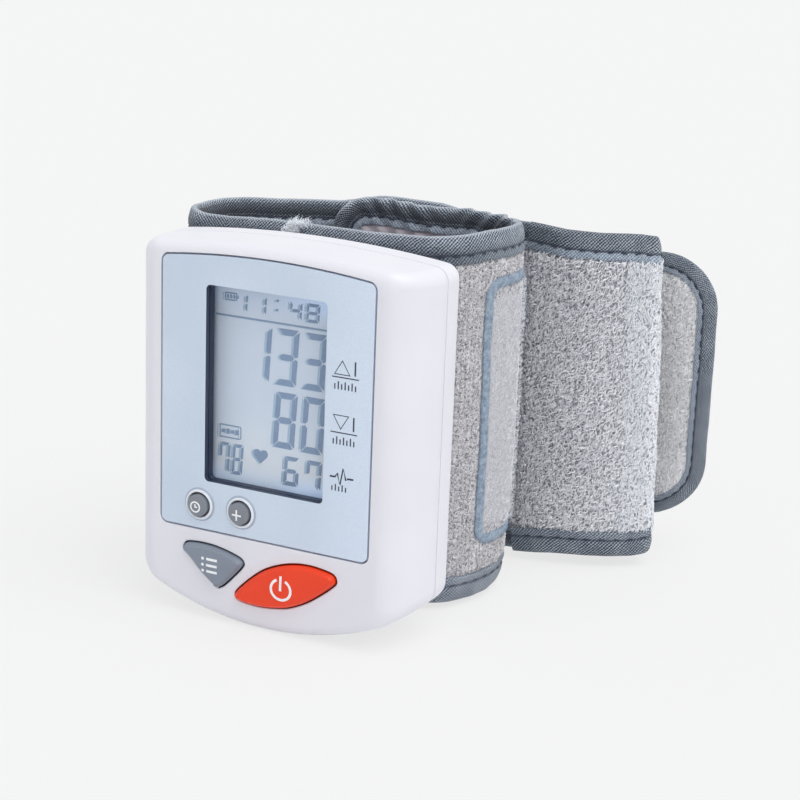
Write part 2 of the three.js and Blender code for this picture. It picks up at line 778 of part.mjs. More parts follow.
function springCone(x, z, rise) {
  const profile = [
    [0, -contact_thickness / 2], [spring_foot_radius, -contact_thickness / 2], [spring_foot_radius, 0],
    [spring_tip_radius, cell_nub_length], [0, cell_nub_length]
  ].map(([r, d]) => new THREE.Vector2(r, d))
  const geometry = new THREE.LatheGeometry(profile, round_sides)
  geometry.rotateX(rise * Math.PI / 2)
  geometry.translate(x, cell_y, z)
  return solidOf(geometry)
}
const lower_plate_top = cell_bottom - cell_nub_length - fit_gap
const half_contact = contact_width / 2
meshOf('battery_bridge', geometryOf(join(
  contactPlate(cell_left_x - half_contact, cell_right_x + half_contact, lower_plate_top - contact_thickness),
  springCone(cell_left_x, lower_plate_top, 1)
)), steel)
meshOf('battery_contact_plus', geometryOf(
  contactPlate(cell_left_x - half_contact, cell_left_x + half_contact, upper_contact_low)
), steel)
meshOf('battery_contact_minus', geometryOf(join(
  contactPlate(cell_right_x - half_contact, cell_right_x + half_contact, upper_contact_low),
  springCone(cell_right_x, upper_contact_low, -1)
)), steel)

// Air pump, valve, sensor and the block that joins their tubes, all behind the circuit board
const air_y = board_back + fit_gap + pump_head_depth / 2
const pump_head_top = pump_motor_bottom - fit_gap
const pump_head_low = pump_head_top - pump_head_height
const nipple_z = pump_head_low + pump_head_height / 3
const shaft_low = pump_motor_bottom - pump_shaft_length
const motor_top = pump_motor_bottom + pump_motor_length
meshOf('pump_motor', geometryOf(join(
  solidOf(rodZ(pump_motor_radius, pump_x, air_y, pump_motor_bottom, motor_top)),
  solidOf(rodZ(pump_shaft_radius, pump_x, air_y, shaft_low, pump_motor_bottom + fit_gap, small_sides))
)), steel)
function pumpHead() {
  const half = pump_head_width / 2
  const front = board_back + fit_gap
  const back = front + pump_head_depth
  const body = block(pump_x - half, pump_x + half, front, back, pump_head_low, pump_head_top)
  const side = pump_x - half
  const nipple = rodX(nipple_radius, side - nipple_length, side + fit_gap, air_y, nipple_z, small_sides)
  const hole = rodZ(
    pump_shaft_radius + fit_gap, pump_x, air_y, shaft_low - fit_gap, pump_head_top + cut_overrun, small_sides
  )
  return cut(join(solidOf(body), solidOf(nipple)), solidOf(hole))
}
meshOf('pump_head', geometryOf(pumpHead()), plastic_dark)

const manifold_half = manifold_size / 2
const manifold_top = port_z + manifold_half
const manifold_right = port_x + manifold_half
function airManifold() {
  const half = manifold_half
  const body = block(port_x - half, port_x + half, air_y - half, air_y + half, port_z - half, port_z + half)
  const upEnd = manifold_top + nipple_length
  const up = rodZ(nipple_radius, port_x, air_y, manifold_top - fit_gap, upEnd, small_sides)
  const sideEnd = manifold_right + nipple_length
  const across = rodX(nipple_radius, manifold_right - fit_gap, sideEnd, air_y, port_z, small_sides)
  return join(solidOf(body), solidOf(up), solidOf(across))
}
meshOf('air_manifold', geometryOf(airManifold()), plastic_dark)
const valve_left = manifold_right + nipple_length + fit_gap
meshOf('release_valve', rodX(valve_radius, valve_left, valve_left + valve_length, air_y, port_z), steel)

// Parts soldered to the back of the board
const part_front = board_back + fit_gap
function chip(x, z, size, height) {
  const half = size / 2
  return block(x - half, x + half, part_front, part_front + height, z - half, z + half)
}
const sensor_height = air_y - manifold_half - fit_gap - part_front
meshOf('pressure_sensor', chip(port_x, port_z, sensor_size, sensor_height), plastic_dark)
meshOf('processor_chip', chip(chip_x, chip_z, chip_size, chip_height), plastic_dark)
const buzzer_back = part_front + buzzer_height
meshOf('buzzer', rodY(buzzer_radius, buzzer_x, buzzer_z, part_front, buzzer_back), plastic_dark)

// Silicone tube from the pump's nipple, round one bend and down to the top of the block
function airTube() {
  const start = pump_x - pump_head_width / 2 - nipple_length - fit_gap
  const end = manifold_top + nipple_length + fit_gap
  const r = tube_bend_radius
  const stations = [[start, nipple_z, 0]]
  for (let i = 0; i <= tube_bend_steps; i++) {
    const angle = Math.PI / 2 * i / tube_bend_steps
    stations.push([port_x + r * (1 - Math.sin(angle)), nipple_z - r * (1 - Math.cos(angle)), angle])
  }
  stations.push([port_x, end, Math.PI / 2])
  return sweep(stations.map(([x, z, turn]) => Array.from({ length: tube_sides }, (_, i) => {
    const angle = 2 * Math.PI * i / tube_sides
    const across = tube_radius * Math.cos(angle)
    return new THREE.Vector3(
      x + across * Math.sin(turn), air_y + tube_radius * Math.sin(angle), z - across * Math.cos(turn)
    )
  })))
}
meshOf('air_tube', airTube(), tube_clear)

// The strap's route from above. A station has its place, its heading in degrees and its distance along.
function trace(x, y, heading, moves) {
  const stations = [{ x, y, heading }]
  for (const [kind, length, angle = 0] of moves) {
    const last = stations.at(-1)
    const [ahead, across] = [Math.cos(last.heading * degrees), Math.sin(last.heading * degrees)]
    if (kind === 'run') {
      stations.push({ x: last.x + length * ahead, y: last.y + length * across, heading: last.heading })
      continue
    }
    const side = kind === 'left' ? 1 : -1
    const cx = last.x - side * length * across
    const cy = last.y + side * length * ahead
    const steps = Math.max(1, Math.ceil(angle / bend_step_degrees))
    for (let i = 1; i <= steps; i++) {
      const now = last.heading + side * angle * i / steps
      const reach = side * length
      stations.push({
        x: cx + reach * Math.sin(now * degrees), y: cy - reach * Math.cos(now * degrees), heading: now
      })
    }
  }
  return stations
}

function measured(stations) {
  let s = 0
  return stations.map((p, i) => {
    if (i > 0) s += Math.hypot(p.x - stations[i - 1].x, p.y - stations[i - 1].y)
    return { ...p, s }
  })
}

// Adds stations at the given distances along, and keeps only the stretch from the first place to the last
function stretch(stations, from, to, extra = []) {
  const all = [...stations]
  for (const d of [from, to, ...extra]) {
    const i = all.findIndex((p) => p.s > d + same_place)
    if (i < 1 || d - all[i - 1].s < same_place) continue
    const [a, b] = [all[i - 1], all[i]]
    const share = (d - a.s) / (b.s - a.s)
    const mix = (key) => a[key] + (b[key] - a[key]) * share
    all.splice(i, 0, { x: mix('x'), y: mix('y'), heading: mix('heading'), s: d })
  }
  return all.filter((p) => p.s > from - same_place && p.s < to + same_place)
}

// A band along the stations. The offset is to the left of the way it runs, and a share narrows a station.
function ribbon(stations, thickness, offset, low, high) {
  return sweep(stations.map((p) => {
    const [nx, ny] = [-Math.sin(p.heading * degrees), Math.cos(p.heading * degrees)]
    return [[-1, low(p.s)], [1, low(p.s)], [1, high(p.s)], [-1, high(p.s)]].map(([side, z]) => {
      const d = offset + side * thickness * (p.share ?? 1) / 2
      return new THREE.Vector3(p.x + nx * d, p.y + ny * d, z)
    })
  }))
}

// Height lost to a round corner at a distance from the band's end
function cornerLoss(distance, radius) {
  const left = radius - Math.min(Math.max(distance, 0), radius)
  return radius - Math.sqrt(Math.max(radius ** 2 - left ** 2, 0))
}

// A value that runs straight between pairs of distance and value
function between(pairs, s) {
  const i = Math.max(1, pairs.findIndex(([end]) => s <= end))
  const [[s0, v0], [s1, v1]] = s > pairs.at(-1)[0] ? pairs.slice(-2) : [pairs[i - 1], pairs[i]]
  return v0 + (v1 - v0) * Math.min((s - s0) / (s1 - s0), 1)
}

const middle_z = cuff_height / 2
const front_y = bulge_depth + cuff_plate_thickness + 2 * fit_gap + strap_thickness / 2

// Left half of the loop, on to the hinge line where the loose strap begins
const left_part = trace(0, front_y, 180, [
  ['run', front_left_run], ['right', left_corner_radius, 90], ['run', left_side_run],
  ['right', left_bend_radius, left_bend_angle]
])
const hinge = left_part.at(-1)

// Loose strap, from the hinge line over the back of the loop to the fold
const strap_moves = [
  ['run', diagonal_run], ['right', back_bend_radius, back_bend_angle], ['run', back_run],
  ['left', band_bend_radius, band_bend_angle]
]
const strap_route = measured(trace(hinge.x, hinge.y, hinge.heading, strap_moves))
const strap_length = strap_route.at(-1).s
const back_start = trace(hinge.x, hinge.y, hinge.heading, strap_moves.slice(0, 2)).at(-1)

// Right half of the loop, round to the inner layer, whose end runs beside the strap without touching it
const inner_y = back_start.y - inner_layer_spacing
const right_moves = [
  ['run', front_half_run], ['left', soft_bend_radius, soft_bend_angle],
  ['left', front_bend_radius, front_bend_angle],
  ['left', side_bend_radius, 90 - soft_bend_angle - front_bend_angle]
]
const right_side = trace(0, front_y, 0, right_moves).at(-1)
const inner_bend_radius = inner_y - right_side.y
const tip_spacing = binding_thickness + tip_gap
const tip_line_x = hinge.x + tip_spacing * Math.sin(hinge.heading * degrees)
const tip_line_y = hinge.y - tip_spacing * Math.cos(hinge.heading * degrees)
const tip_corner_x = tip_line_x + (inner_y - tip_line_y) / Math.tan(hinge.heading * degrees)
const tip_tangent = tip_bend_radius * Math.tan(hinge.heading / 2 * degrees)
const inner_run = right_side.x - inner_bend_radius - tip_corner_x - tip_tangent
const right_part = measured(trace(0, front_y, 0, [
  ...right_moves, ['left', inner_bend_radius, 90], ['run', inner_run],
  ['left', tip_bend_radius, hinge.heading], ['run', tip_run]
]))
const cuff_route = measured([
  ...right_part.slice(1).reverse().map((p) => ({ ...p, heading: p.heading + 180 })), ...left_part
])
const cuff_length = cuff_route.at(-1).s
const front_middle = right_part.at(-1).s

// Solids that clear the space round the hinge line, the fold and the air port
const portSpace = solidOf(rodY(
  port_radius + fit_gap, port_x, port_z, housing_depth, front_y + strap_thickness + stiffener_thickness
))

// Main band of the cuff: one full panel, and a binding round its edges and its inner end
function cuffBand(thickness, inset) {
  const radius = Math.max(inner_corner_radius - inset, fit_gap)
  const corners = corner_shares.map((share) => inset + radius * share)
  const route = stretch(cuff_route, inset, cuff_length, corners)
  const loss = (s) => inset + cornerLoss(s - inset, radius)
  return solidOf(ribbon(route, thickness, 0, loss, (s) => cuff_height - loss(s)))
}
function hingeSpace(thickness) {
  const radius = thickness / 2 + hinge_gap
  return solidOf(rodZ(radius, hinge.x, hinge.y, -cut_overrun, cuff_height + cut_overrun))
}
meshOf('cuff_panel', geometryOf(cut(
  cuffBand(strap_thickness, binding_height + fit_gap), hingeSpace(strap_thickness), portSpace
)), pile_grey)
meshOf('cuff_binding', geometryOf(cut(
  cuffBand(binding_thickness, 0), cuffBand(binding_thickness + 2 * cut_overrun, binding_height),
  hingeSpace(binding_thickness)
)), binding_slate)

// Layers sewn inside the front of the loop, and the smooth pile patch sewn outside its right side
function layer(from, to, thickness, offset, height) {
  const low = middle_z - height / 2
  return solidOf(ribbon(
    stretch(cuff_route, from, to), thickness, offset, () => low, () => low + height
  ))
}
const pad_from = front_middle - pad_right_length
const pad_to = front_middle + pad_left_length
const stiffener_offset = strap_thickness / 2 + fit_gap + stiffener_thickness / 2
const bladder_offset = stiffener_offset + (stiffener_thickness + bladder_thickness) / 2 + fit_gap
const lining_offset = bladder_offset + (bladder_thickness + lining_thickness) / 2 + fit_gap
const stiffener_height = cuff_height - 2 * (binding_height + 2 * fit_gap)
meshOf('cuff_stiffener', geometryOf(cut(
  layer(pad_from, pad_to, stiffener_thickness, -stiffener_offset, stiffener_height), portSpace
)), plastic_white)
meshOf('air_bladder', geometryOf(
  layer(pad_from, pad_to, bladder_thickness, -bladder_offset, bladder_height)
), rubber_grey)
meshOf('cuff_lining', geometryOf(
  layer(pad_from, pad_to, lining_thickness, -lining_offset, cuff_height - 2 * lining_margin)
), lining_pink)
const patch_to = front_middle - patch_start
const patch_offset = (strap_thickness + patch_thickness) / 2 + fit_gap
meshOf('pile_patch', geometryOf(
  layer(patch_to - patch_length, patch_to, patch_thickness, patch_offset, patch_height)
), pile_grey)

// Plate that joins the cuff to the rear cover, and the port that feeds the bladder through it
const plate_front = bulge_depth + fit_gap
meshOf('cuff_mount_plate', geometryOf(cut(
  solidOf(block(
    -cuff_plate_half_width, cuff_plate_half_width, plate_front, plate_front + cuff_plate_thickness,
    (cuff_height - cuff_plate_height) / 2, (cuff_height + cuff_plate_height) / 2
  )),
  portSpace
)), plastic_dark)
function airPort() {
  const front = air_y + manifold_half + fit_gap
  const back = front_y + bladder_offset - bladder_thickness / 2 - fit_gap
  const body = solidOf(rodY(port_radius, port_x, port_z, front, back, small_sides))
  const bore = solidOf(rodY(port_bore, port_x, port_z, front - cut_overrun, back + cut_overrun, small_sides))
  return cut(body, bore)
}
meshOf('air_port', geometryOf(airPort()), plastic_dark)

// Loose strap: panel, two edge bindings, and the round fold at its end
const band_start = diagonal_run + back_bend_radius * back_bend_angle * degrees + back_run
const strap_heights = [
  [0, cuff_height], [band_start, strap_band_height], [strap_length, strap_fold_height]
]
const strapHalf = (s) => between(strap_heights, s) / 2
const roll_offset = (strap_thickness + fold_gap) / 2
const strap_end = strap_route.at(-1)
const roll = {
  x: strap_end.x - roll_offset * Math.sin(strap_end.heading * degrees),
  y: strap_end.y + roll_offset * Math.cos(strap_end.heading * degrees)
}
const roll_radius = (strap_thickness + fold_gap + binding_thickness) / 2
const rollSpace = solidOf(rodZ(
  roll_radius + fit_gap, roll.x, roll.y, -cut_overrun, cuff_height + cut_overrun
))

// Round end for the hinge line, as narrower stations ahead of the first one
function roundNose(stations, thickness) {
  const first = stations[0]
  const nose = nose_angles.map((angle) => {
    const back = thickness / 2 * Math.cos(angle * degrees)
    const x = first.x - back * Math.cos(first.heading * degrees)
    const y = first.y - back * Math.sin(first.heading * degrees)
    return { ...first, x, y, share: Math.sin(angle * degrees) }
  })
  return [...nose, ...stations]
}

function strapStrip(thickness, low, high) {
  const band = ribbon(roundNose(strap_route, thickness), thickness, 0, low, high)
  return geometryOf(cut(solidOf(band), rollSpace))
}
meshOf('strap_panel', strapStrip(
  strap_thickness,
  (s) => middle_z - strapHalf(s) + binding_height + fit_gap,
  (s) => middle_z + strapHalf(s) - binding_height - fit_gap
), pile_grey)
meshOf('strap_binding_top', strapStrip(
  binding_thickness, (s) => middle_z + strapHalf(s) - binding_height, (s) => middle_z + strapHalf(s)
), binding_slate)
meshOf('strap_binding_bottom', strapStrip(
  binding_thickness, (s) => middle_z - strapHalf(s), (s) => middle_z - strapHalf(s) + binding_height
), binding_slate)
const fold_half = strapHalf(strap_length)
meshOf('strap_fold', rodZ(roll_radius, roll.x, roll.y, middle_z - fold_half, middle_z + fold_half), pile_grey)

// Flap past the fold: it runs back, turns over and ends in the round-cornered tab
const return_heading = 180 - return_angle
const flap_route = measured(trace(
  roll.x + roll_offset * Math.sin(return_heading * degrees),
  roll.y - roll_offset * Math.cos(return_heading * degrees),
  return_heading,
  [
    ['run', return_run], ['right', (strap_thickness + tab_fold_gap) / 2, return_heading - tab_angle],
    ['run', tab_run]
  ]
))
const flap_length = flap_route.at(-1).s
const flap_heights = [[0, strap_fold_height], [return_run, tab_height]]
function flapBand(thickness, inset) {
  const radius = Math.max(tab_corner_radius - inset, fit_gap)
  const end = flap_length - inset
  const route = stretch(flap_route, 0, end, corner_shares.map((share) => end - radius * share))
  const half = (s) => between(flap_heights, s) / 2 - inset - cornerLoss(end - s, radius)
  return solidOf(ribbon(route, thickness, 0, (s) => middle_z - half(s), (s) => middle_z + half(s)))
}
meshOf('tab_panel', geometryOf(cut(
  flapBand(strap_thickness, binding_height + fit_gap), rollSpace
)), pile_grey)
meshOf('tab_binding', geometryOf(cut(
  flapBand(binding_thickness, 0), flapBand(binding_thickness + fit_gap, binding_height), rollSpace
)), binding_slate)

// The origin is the middle of the whole part's footprint
const whole = new THREE.Box3().setFromObject(part)
const centre = whole.getCenter(new THREE.Vector3())
for (const mesh of part.children) mesh.geometry.translate(-centre.x, -centre.y, -whole.min.z)

export default part
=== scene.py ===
"""Looks of the wrist blood pressure monitor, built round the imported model.

Lengths are in millimetres in the maker's own frame: x to the right, y back from the face of the housing and
z up from the floor. On a strip of cloth, s runs along its route seen from above, z up it, and d outwards to
its left.
"""

import json
import math

import bmesh
import bpy
import numpy as np
from mathutils import Matrix, Vector

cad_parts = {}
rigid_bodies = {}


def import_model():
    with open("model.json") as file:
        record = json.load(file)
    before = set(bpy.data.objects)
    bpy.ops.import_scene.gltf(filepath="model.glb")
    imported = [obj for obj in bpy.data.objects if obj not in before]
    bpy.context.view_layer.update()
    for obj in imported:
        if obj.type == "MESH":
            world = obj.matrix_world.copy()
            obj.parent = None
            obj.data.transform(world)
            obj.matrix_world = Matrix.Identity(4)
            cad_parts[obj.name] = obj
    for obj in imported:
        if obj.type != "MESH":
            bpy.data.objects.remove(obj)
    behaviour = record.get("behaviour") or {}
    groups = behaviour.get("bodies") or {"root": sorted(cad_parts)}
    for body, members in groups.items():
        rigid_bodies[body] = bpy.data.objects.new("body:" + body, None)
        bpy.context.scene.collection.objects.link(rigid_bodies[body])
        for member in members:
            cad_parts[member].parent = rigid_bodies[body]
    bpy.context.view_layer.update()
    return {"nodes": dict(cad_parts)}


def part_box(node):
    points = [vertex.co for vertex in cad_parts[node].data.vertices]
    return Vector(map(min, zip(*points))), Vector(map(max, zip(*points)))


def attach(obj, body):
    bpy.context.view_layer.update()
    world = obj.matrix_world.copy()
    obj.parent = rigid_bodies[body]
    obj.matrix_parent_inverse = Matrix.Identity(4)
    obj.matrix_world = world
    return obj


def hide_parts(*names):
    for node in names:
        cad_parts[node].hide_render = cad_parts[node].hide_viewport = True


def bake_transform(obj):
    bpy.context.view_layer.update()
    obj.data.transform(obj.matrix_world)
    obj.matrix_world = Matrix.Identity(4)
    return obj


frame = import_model()
nodes = frame["nodes"]
scene_objects = bpy.context.scene.collection.objects

plate_low, plate_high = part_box("faceplate")
lip_height = 0.55
face_x = (plate_low.x + plate_high.x) / 2
face_y = plate_low.y + lip_height / 1000


def place(points):
    """Points of the maker's frame as metres of the row frame."""
    return np.asarray(points, float).reshape(-1, 3) / 1000 + (face_x, face_y, 0)


def way_to(turn, rise):
    """The direction from the object to something that stands so far round it and above it, in radians."""
    return Vector((math.sin(turn) * math.cos(rise), -math.cos(turn) * math.cos(rise), math.sin(rise)))


# Camera

camera_target = (28.505, 0, 51.17)
camera_distance = 358.78
camera_turn, camera_rise, camera_roll = (math.radians(a) for a in (26.5399, 15.6368, 2.1736))


def add_camera():
    back = way_to(camera_turn, camera_rise)
    right = Vector((math.cos(camera_turn), math.sin(camera_turn), 0))
    tilted = right * math.cos(camera_roll) + back.cross(right) * math.sin(camera_roll)
    data = bpy.data.cameras.new("camera")
    data.lens = 89.325
    data.sensor_width = 36
    data.clip_start = 0.01
    data.clip_end = 20
    camera = bpy.data.objects.new("camera", data)
    scene_objects.link(camera)
    facing = Matrix((tilted, back.cross(tilted), back)).transposed().to_4x4()
    spot = Vector(place(camera_target)[0]) + back * camera_distance / 1000
    camera.matrix_world = Matrix.Translation(spot) @ facing
    bpy.context.scene.camera = camera


# Finishes


def paint(red, green, blue):
    """A colour written as screen values from 0 to 255."""
    shares = (red / 255, green / 255, blue / 255)
    return tuple(c / 12.92 if c < 0.0404 else ((c + 0.055) / 1.055) ** 2.4 for c in shares) + (1,)


studio_white = paint(244, 244, 244)


class Wire:
    """A socket in a finish. Sums written on wires add the Math nodes that work them out."""

    def __init__(self, finish, socket):
        self.finish = finish
        self.socket = socket

    def math(self, operation, *values):
        return self.finish.node("ShaderNodeMath", {"operation": operation}, dict(enumerate(values)))

    def __add__(self, other):
        return self.math("ADD", self, other)

    def __sub__(self, other):
        return self.math("SUBTRACT", self, other)

    def __rsub__(self, other):
        return self.math("SUBTRACT", other, self)

    def __mul__(self, other):
        return self.math("MULTIPLY", self, other)

    __radd__ = __add__
    __rmul__ = __mul__

    def sine(self):
        return self.math("SINE", self)

    def absolute(self):
        return self.math("ABSOLUTE", self)

    def larger(self, other):
        return self.math("MAXIMUM", self, other)

    def output(self, name):
        """Another output of the node that this wire comes from."""
        return Wire(self.finish, self.socket.node.outputs[name])

    def within(self, low, high):
        """0 below low, 1 above high and a smooth rise between them."""
        step = {"interpolation_type": "SMOOTHSTEP"}
        return self.finish.node("ShaderNodeMapRange", step, {0: self, 1: low, 2: high})


class Finish:
    """A material, or the world, made of nodes. node() adds any node but those that sums on wires add."""

    def __init__(self, name, owners=bpy.data.materials):
        self.owner = owners.new(name)
        self.owner.use_nodes = True
        self.tree = self.owner.node_tree
        self.tree.nodes.clear()

    def node(self, kind, settings=None, inputs=None, output=0):
        made = self.tree.nodes.new(kind)
        for key, value in (settings or {}).items():
            setattr(made, key, value)
        for key, value in (inputs or {}).items():
            if isinstance(value, Wire):
                self.tree.links.new(value.socket, made.inputs[key])
            else:
                made.inputs[key].default_value = value
        return Wire(self, made.outputs[output]) if made.outputs else None

    def solid_place(self, scale=1):
        """The place on the piece in millimetres times the scale."""
        spot = self.node("ShaderNodeTexCoord", output="Object")
        return self.node("ShaderNodeVectorMath", {"operation": "SCALE"}, {0: spot, "Scale": 1000 * scale})

    def cloth_place(self):
        """The place along and up the cloth in millimetres."""
        return self.node("ShaderNodeUVMap", {"uv_map": "cloth"})

    def axes(self, spot):
        """The first number of a place. Its outputs Y and Z are the other two."""
        return self.node("ShaderNodeSeparateXYZ", None, {0: spot})

    def stretched(self, spot, x, y):
        return self.node("ShaderNodeVectorMath", {"operation": "MULTIPLY"}, {0: spot, 1: (x, y, 1)})

    def noise(self, spot, scale=1.0, detail=2.0, roughness=0.5):
        inputs = {"Vector": spot, "Scale": scale, "Detail": detail, "Roughness": roughness}
        return self.node("ShaderNodeTexNoise", None, inputs)

    def mix(self, share, one, other):
        return self.node("ShaderNodeMix", {"data_type": "RGBA"}, {0: share, 6: one, 7: other}, 2)

    def bump(self, height, strength, distance):
        inputs = {"Height": height, "Strength": strength, "Distance": distance / 1000}
        return self.node("ShaderNodeBump", None, inputs)

    def seen(self):
        """1 for what the camera sees, also in gloss and through clear plastic, and 0 for the rest."""
        path = self.node("ShaderNodeLightPath")
        return path.larger(path.output("Is Glossy Ray")).larger(path.output("Is Transmission Ray"))

    def surface(self, inputs):
        shader = self.node("ShaderNodeBsdfPrincipled", None, inputs)
        self.node("ShaderNodeOutputMaterial", None, {"Surface": shader})
        return self.owner


def moulded(name, colour, shade, roughness, texture=0.02):
    """Moulded plastic: a fine spark texture, a faint cloudiness and slightly uneven gloss."""
    finish = Finish(name)
    cloud = finish.noise(finish.solid_place(0.06), 1, 2)
    grain = finish.noise(finish.solid_place(5), 1, 2)
    return finish.surface({
        "Base Color": finish.mix(cloud.within(0.3, 0.7) * 0.6 + grain * 0.2, colour, shade),
        "Roughness": grain * 0.08 + (roughness - 0.04),
        "Normal": finish.bump(grain, 0.5, texture),
    })


def sprayed_plate():
    """Silver-blue sprayed film of the faceplate, finely speckled, and a little lighter to the right by
    painted light.
    """
    finish = Finish("faceplate_film")
    flake = finish.noise(finish.solid_place(7), 1, 3, 0.7)
    drift = finish.noise(finish.solid_place(0.05), 1, 1)
    tone = finish.mix(drift.within(0.3, 0.7), paint(214, 226, 240), paint(206, 219, 235))
    across = finish.axes(finish.solid_place()) - face_x * 1000
    # Painted highlight: the film grows lighter towards the right.
    tone = finish.mix(across.within(6, 23) * 0.8, tone, paint(224, 236, 252))
    return finish.surface({
        "Base Color": finish.mix(flake.within(0.35, 0.75) * 0.5, tone, paint(190, 204, 222)),
        "Metallic": 0.15,
        "Roughness": flake * 0.12 + 0.4,
        "Normal": finish.bump(flake, 0.25, 0.01),
    })


def clear_lens():
    """Clear plastic over the display, with a weak gloss and a faint white veil of painted light."""
    finish = Finish("lens_clear")
    haze = finish.noise(finish.solid_place(0.2), 1, 2)
    return finish.surface({
        # The white base colour, at this alpha, is a faint veil of painted light over the display's shade.
        "Base Color": paint(236, 242, 248),
        "Roughness": haze * 0.03 + 0.05,
        "Alpha": haze * 0.02 + 0.13,
    })


def display_glass():
    """Grey-blue reflector of the display, lighter towards the bottom, with a painted shadow along its left
    edge.
    A faint glow, which is painted light, makes up for the light that the window's walls keep from its ends.
    """
    finish = Finish("display_glass")
    mottle = finish.noise(finish.solid_place(0.25), 1, 3)
    fine = finish.noise(finish.solid_place(6), 1, 1)
    axes = finish.axes(finish.solid_place())
    across, height = axes - face_x * 1000, axes.output("Z")
    # Painted light: the reflector is lighter towards the bottom and darker towards the top.
    tone = finish.mix(height.within(26, 46), paint(250, 254, 255), paint(217, 229, 245))
    tone = finish.mix(mottle * 0.3 + fine * 0.2, tone, paint(204, 219, 237))
    # Painted shadow of the window's left wall on the reflector.
    painted_left_shadow = 1 - across.within(-14.3, -12.5)
    # Where the window's walls keep light off the ends, a painted glow makes up for it.
    bottom, top = 1 - height.within(28, 32.5), height.within(60, 66)
    painted_glow_mask = bottom * 0.65 + top * 0.3 + (bottom + top) * across.within(-2, 11) * 0.75
    return finish.surface({
        "Base Color": finish.mix(painted_left_shadow * 0.8, tone, paint(62, 90, 136)),
        "Roughness": fine * 0.1 + 0.35,
        "Specular IOR Level": 0.3,
        "Emission Color": finish.mix(painted_glow_mask, paint(0, 0, 0), (0.09, 0.16, 0.29, 1)),
        "Emission Strength": 1.0,
    })


def printed(name, colour, shade):
    """Ink or liquid crystal: nearly flat, with a faint unevenness."""
    finish = Finish(name)
    patch = finish.noise(finish.solid_place(1.5), 1, 2)
    return finish.surface({
        "Base Color": finish.mix(patch.within(0.35, 0.7), colour, shade),
        "Roughness": patch * 0.1 + 0.4,
        "Specular IOR Level": 0.3,
    })


def metal(name, colour, shade, roughness):
    """Plated metal with faint drawing marks."""
    finish = Finish(name)
    drawn = finish.noise(finish.solid_place(2), 1, 3)
    return finish.surface({
        "Base Color": finish.mix(drawn.within(0.3, 0.7), colour, shade),
        "Metallic": 1.0,
        "Roughness": drawn * 0.15 + roughness,
        "Normal": finish.bump(drawn, 0.2, 0.02),
    })


def tape_weave(name, shade=1.0, relief=1.0, flange=1.0, hollow=0.0, loop_shadow=0.0, crown=0.0, low=0.0):
    """Slate tape with a fine diagonal twill of the relief, darkened by shade as painted shade. Beyond the
    stitches it lies loose and is paler by the share of flange: a little everywhere, and more on the upper
    parts as a painted highlight. hollow paints shade into the middle of the tape, the share for the loop
    paints its shadow over the start of the run along the rim, and low paints shade on all but the upper rim
    close behind the housing. crown paints a highlight on the fold at the rim itself.
    """
    finish = Finish(name)
    twill = 8.9

    def tint(red, green, blue, share=shade):
        return paint(red * share, green * share, blue * share)

    spot = finish.cloth_place()
    axes = finish.axes(spot)
    depth = axes.output("Y")
    sway = finish.noise(spot, 0.7, 2) * 0.5
    along, across = axes + sway, depth + sway * 0.6
    soft = finish.noise(spot, 0.25, 3)
    fleck = finish.noise(spot, 2.6, 2, 0.7)
    rising = ((along + across) * twill).sine()
    falling = ((along - across) * twill).sine()
    weave = (rising * 0.36 + falling * 0.2) * relief + fleck * 1.1 - 0.12
    dark = finish.mix(soft.within(0.3, 0.7), tint(42, 55, 73), tint(66, 79, 97))
    light = finish.mix(soft.within(0.3, 0.7), tint(182, 192, 204), tint(208, 215, 224))
    body = finish.mix(weave.within(0.1, 0.95), dark, light)

    crinkle = finish.noise(finish.stretched(spot, 1, 0.7), 1.5, 3, 0.7)
    # The pale flange takes only half of the painted shade.
    half_shade = (shade + 1) / 2
    mottle = (crinkle * 0.6 + weave * 0.5).within(0.1, 0.85)
    pale = finish.mix(mottle, tint(94, 111, 135, half_shade), tint(204, 215, 228, half_shade))
    on_body = finish.axes(finish.solid_place())
    upper = on_body.output("Z").within(7, 15)
    past_stitches = depth.within(4.3, 4.6)
    # Paler loose tape: a little everywhere, and a painted highlight on the upper parts.
    loose = past_stitches * (upper * 0.75 + 0.25) * flange
    # Painted shade in the fold at the stitches.
    crease_shade = depth.within(3.85, 4.1) * (1 - past_stitches)
    tone = finish.mix(crease_shade * 0.6, finish.mix(loose, body, pale), tint(50, 64, 86))

    # Painted shade: in the middle of the tape, the loop's shadow at the start of the run, and close behind
    # the housing.
    sunk_shade = (depth + soft * 2 - 1).within(0.6, 3.4) * (1 - depth.within(3.5, 3.9))
    behind = (1 - on_body.output("Z").within(72.2, 75.2)) * (1 - on_body.within(12, 26)) * upper
    shadow = sunk_shade * hollow + (1 - axes.within(3, 11)) * loop_shadow + behind * low
    # Painted highlight on the fold at the rim.
    tone = finish.mix((1 - depth.within(0.2, 1.0)) * crown, tone, paint(214, 222, 233))
    return finish.surface({
        "Base Color": finish.mix(shadow, tone, paint(24, 32, 46)),
        "Roughness": weave * 0.1 + 0.75,
        "Specular IOR Level": 0.25,
        "Sheen Weight": 0.2,
        "Sheen Roughness": 0.5,
        "Normal": finish.bump(weave + soft * 0.8 + crinkle * 0.5, 0.8, 0.2),
    })


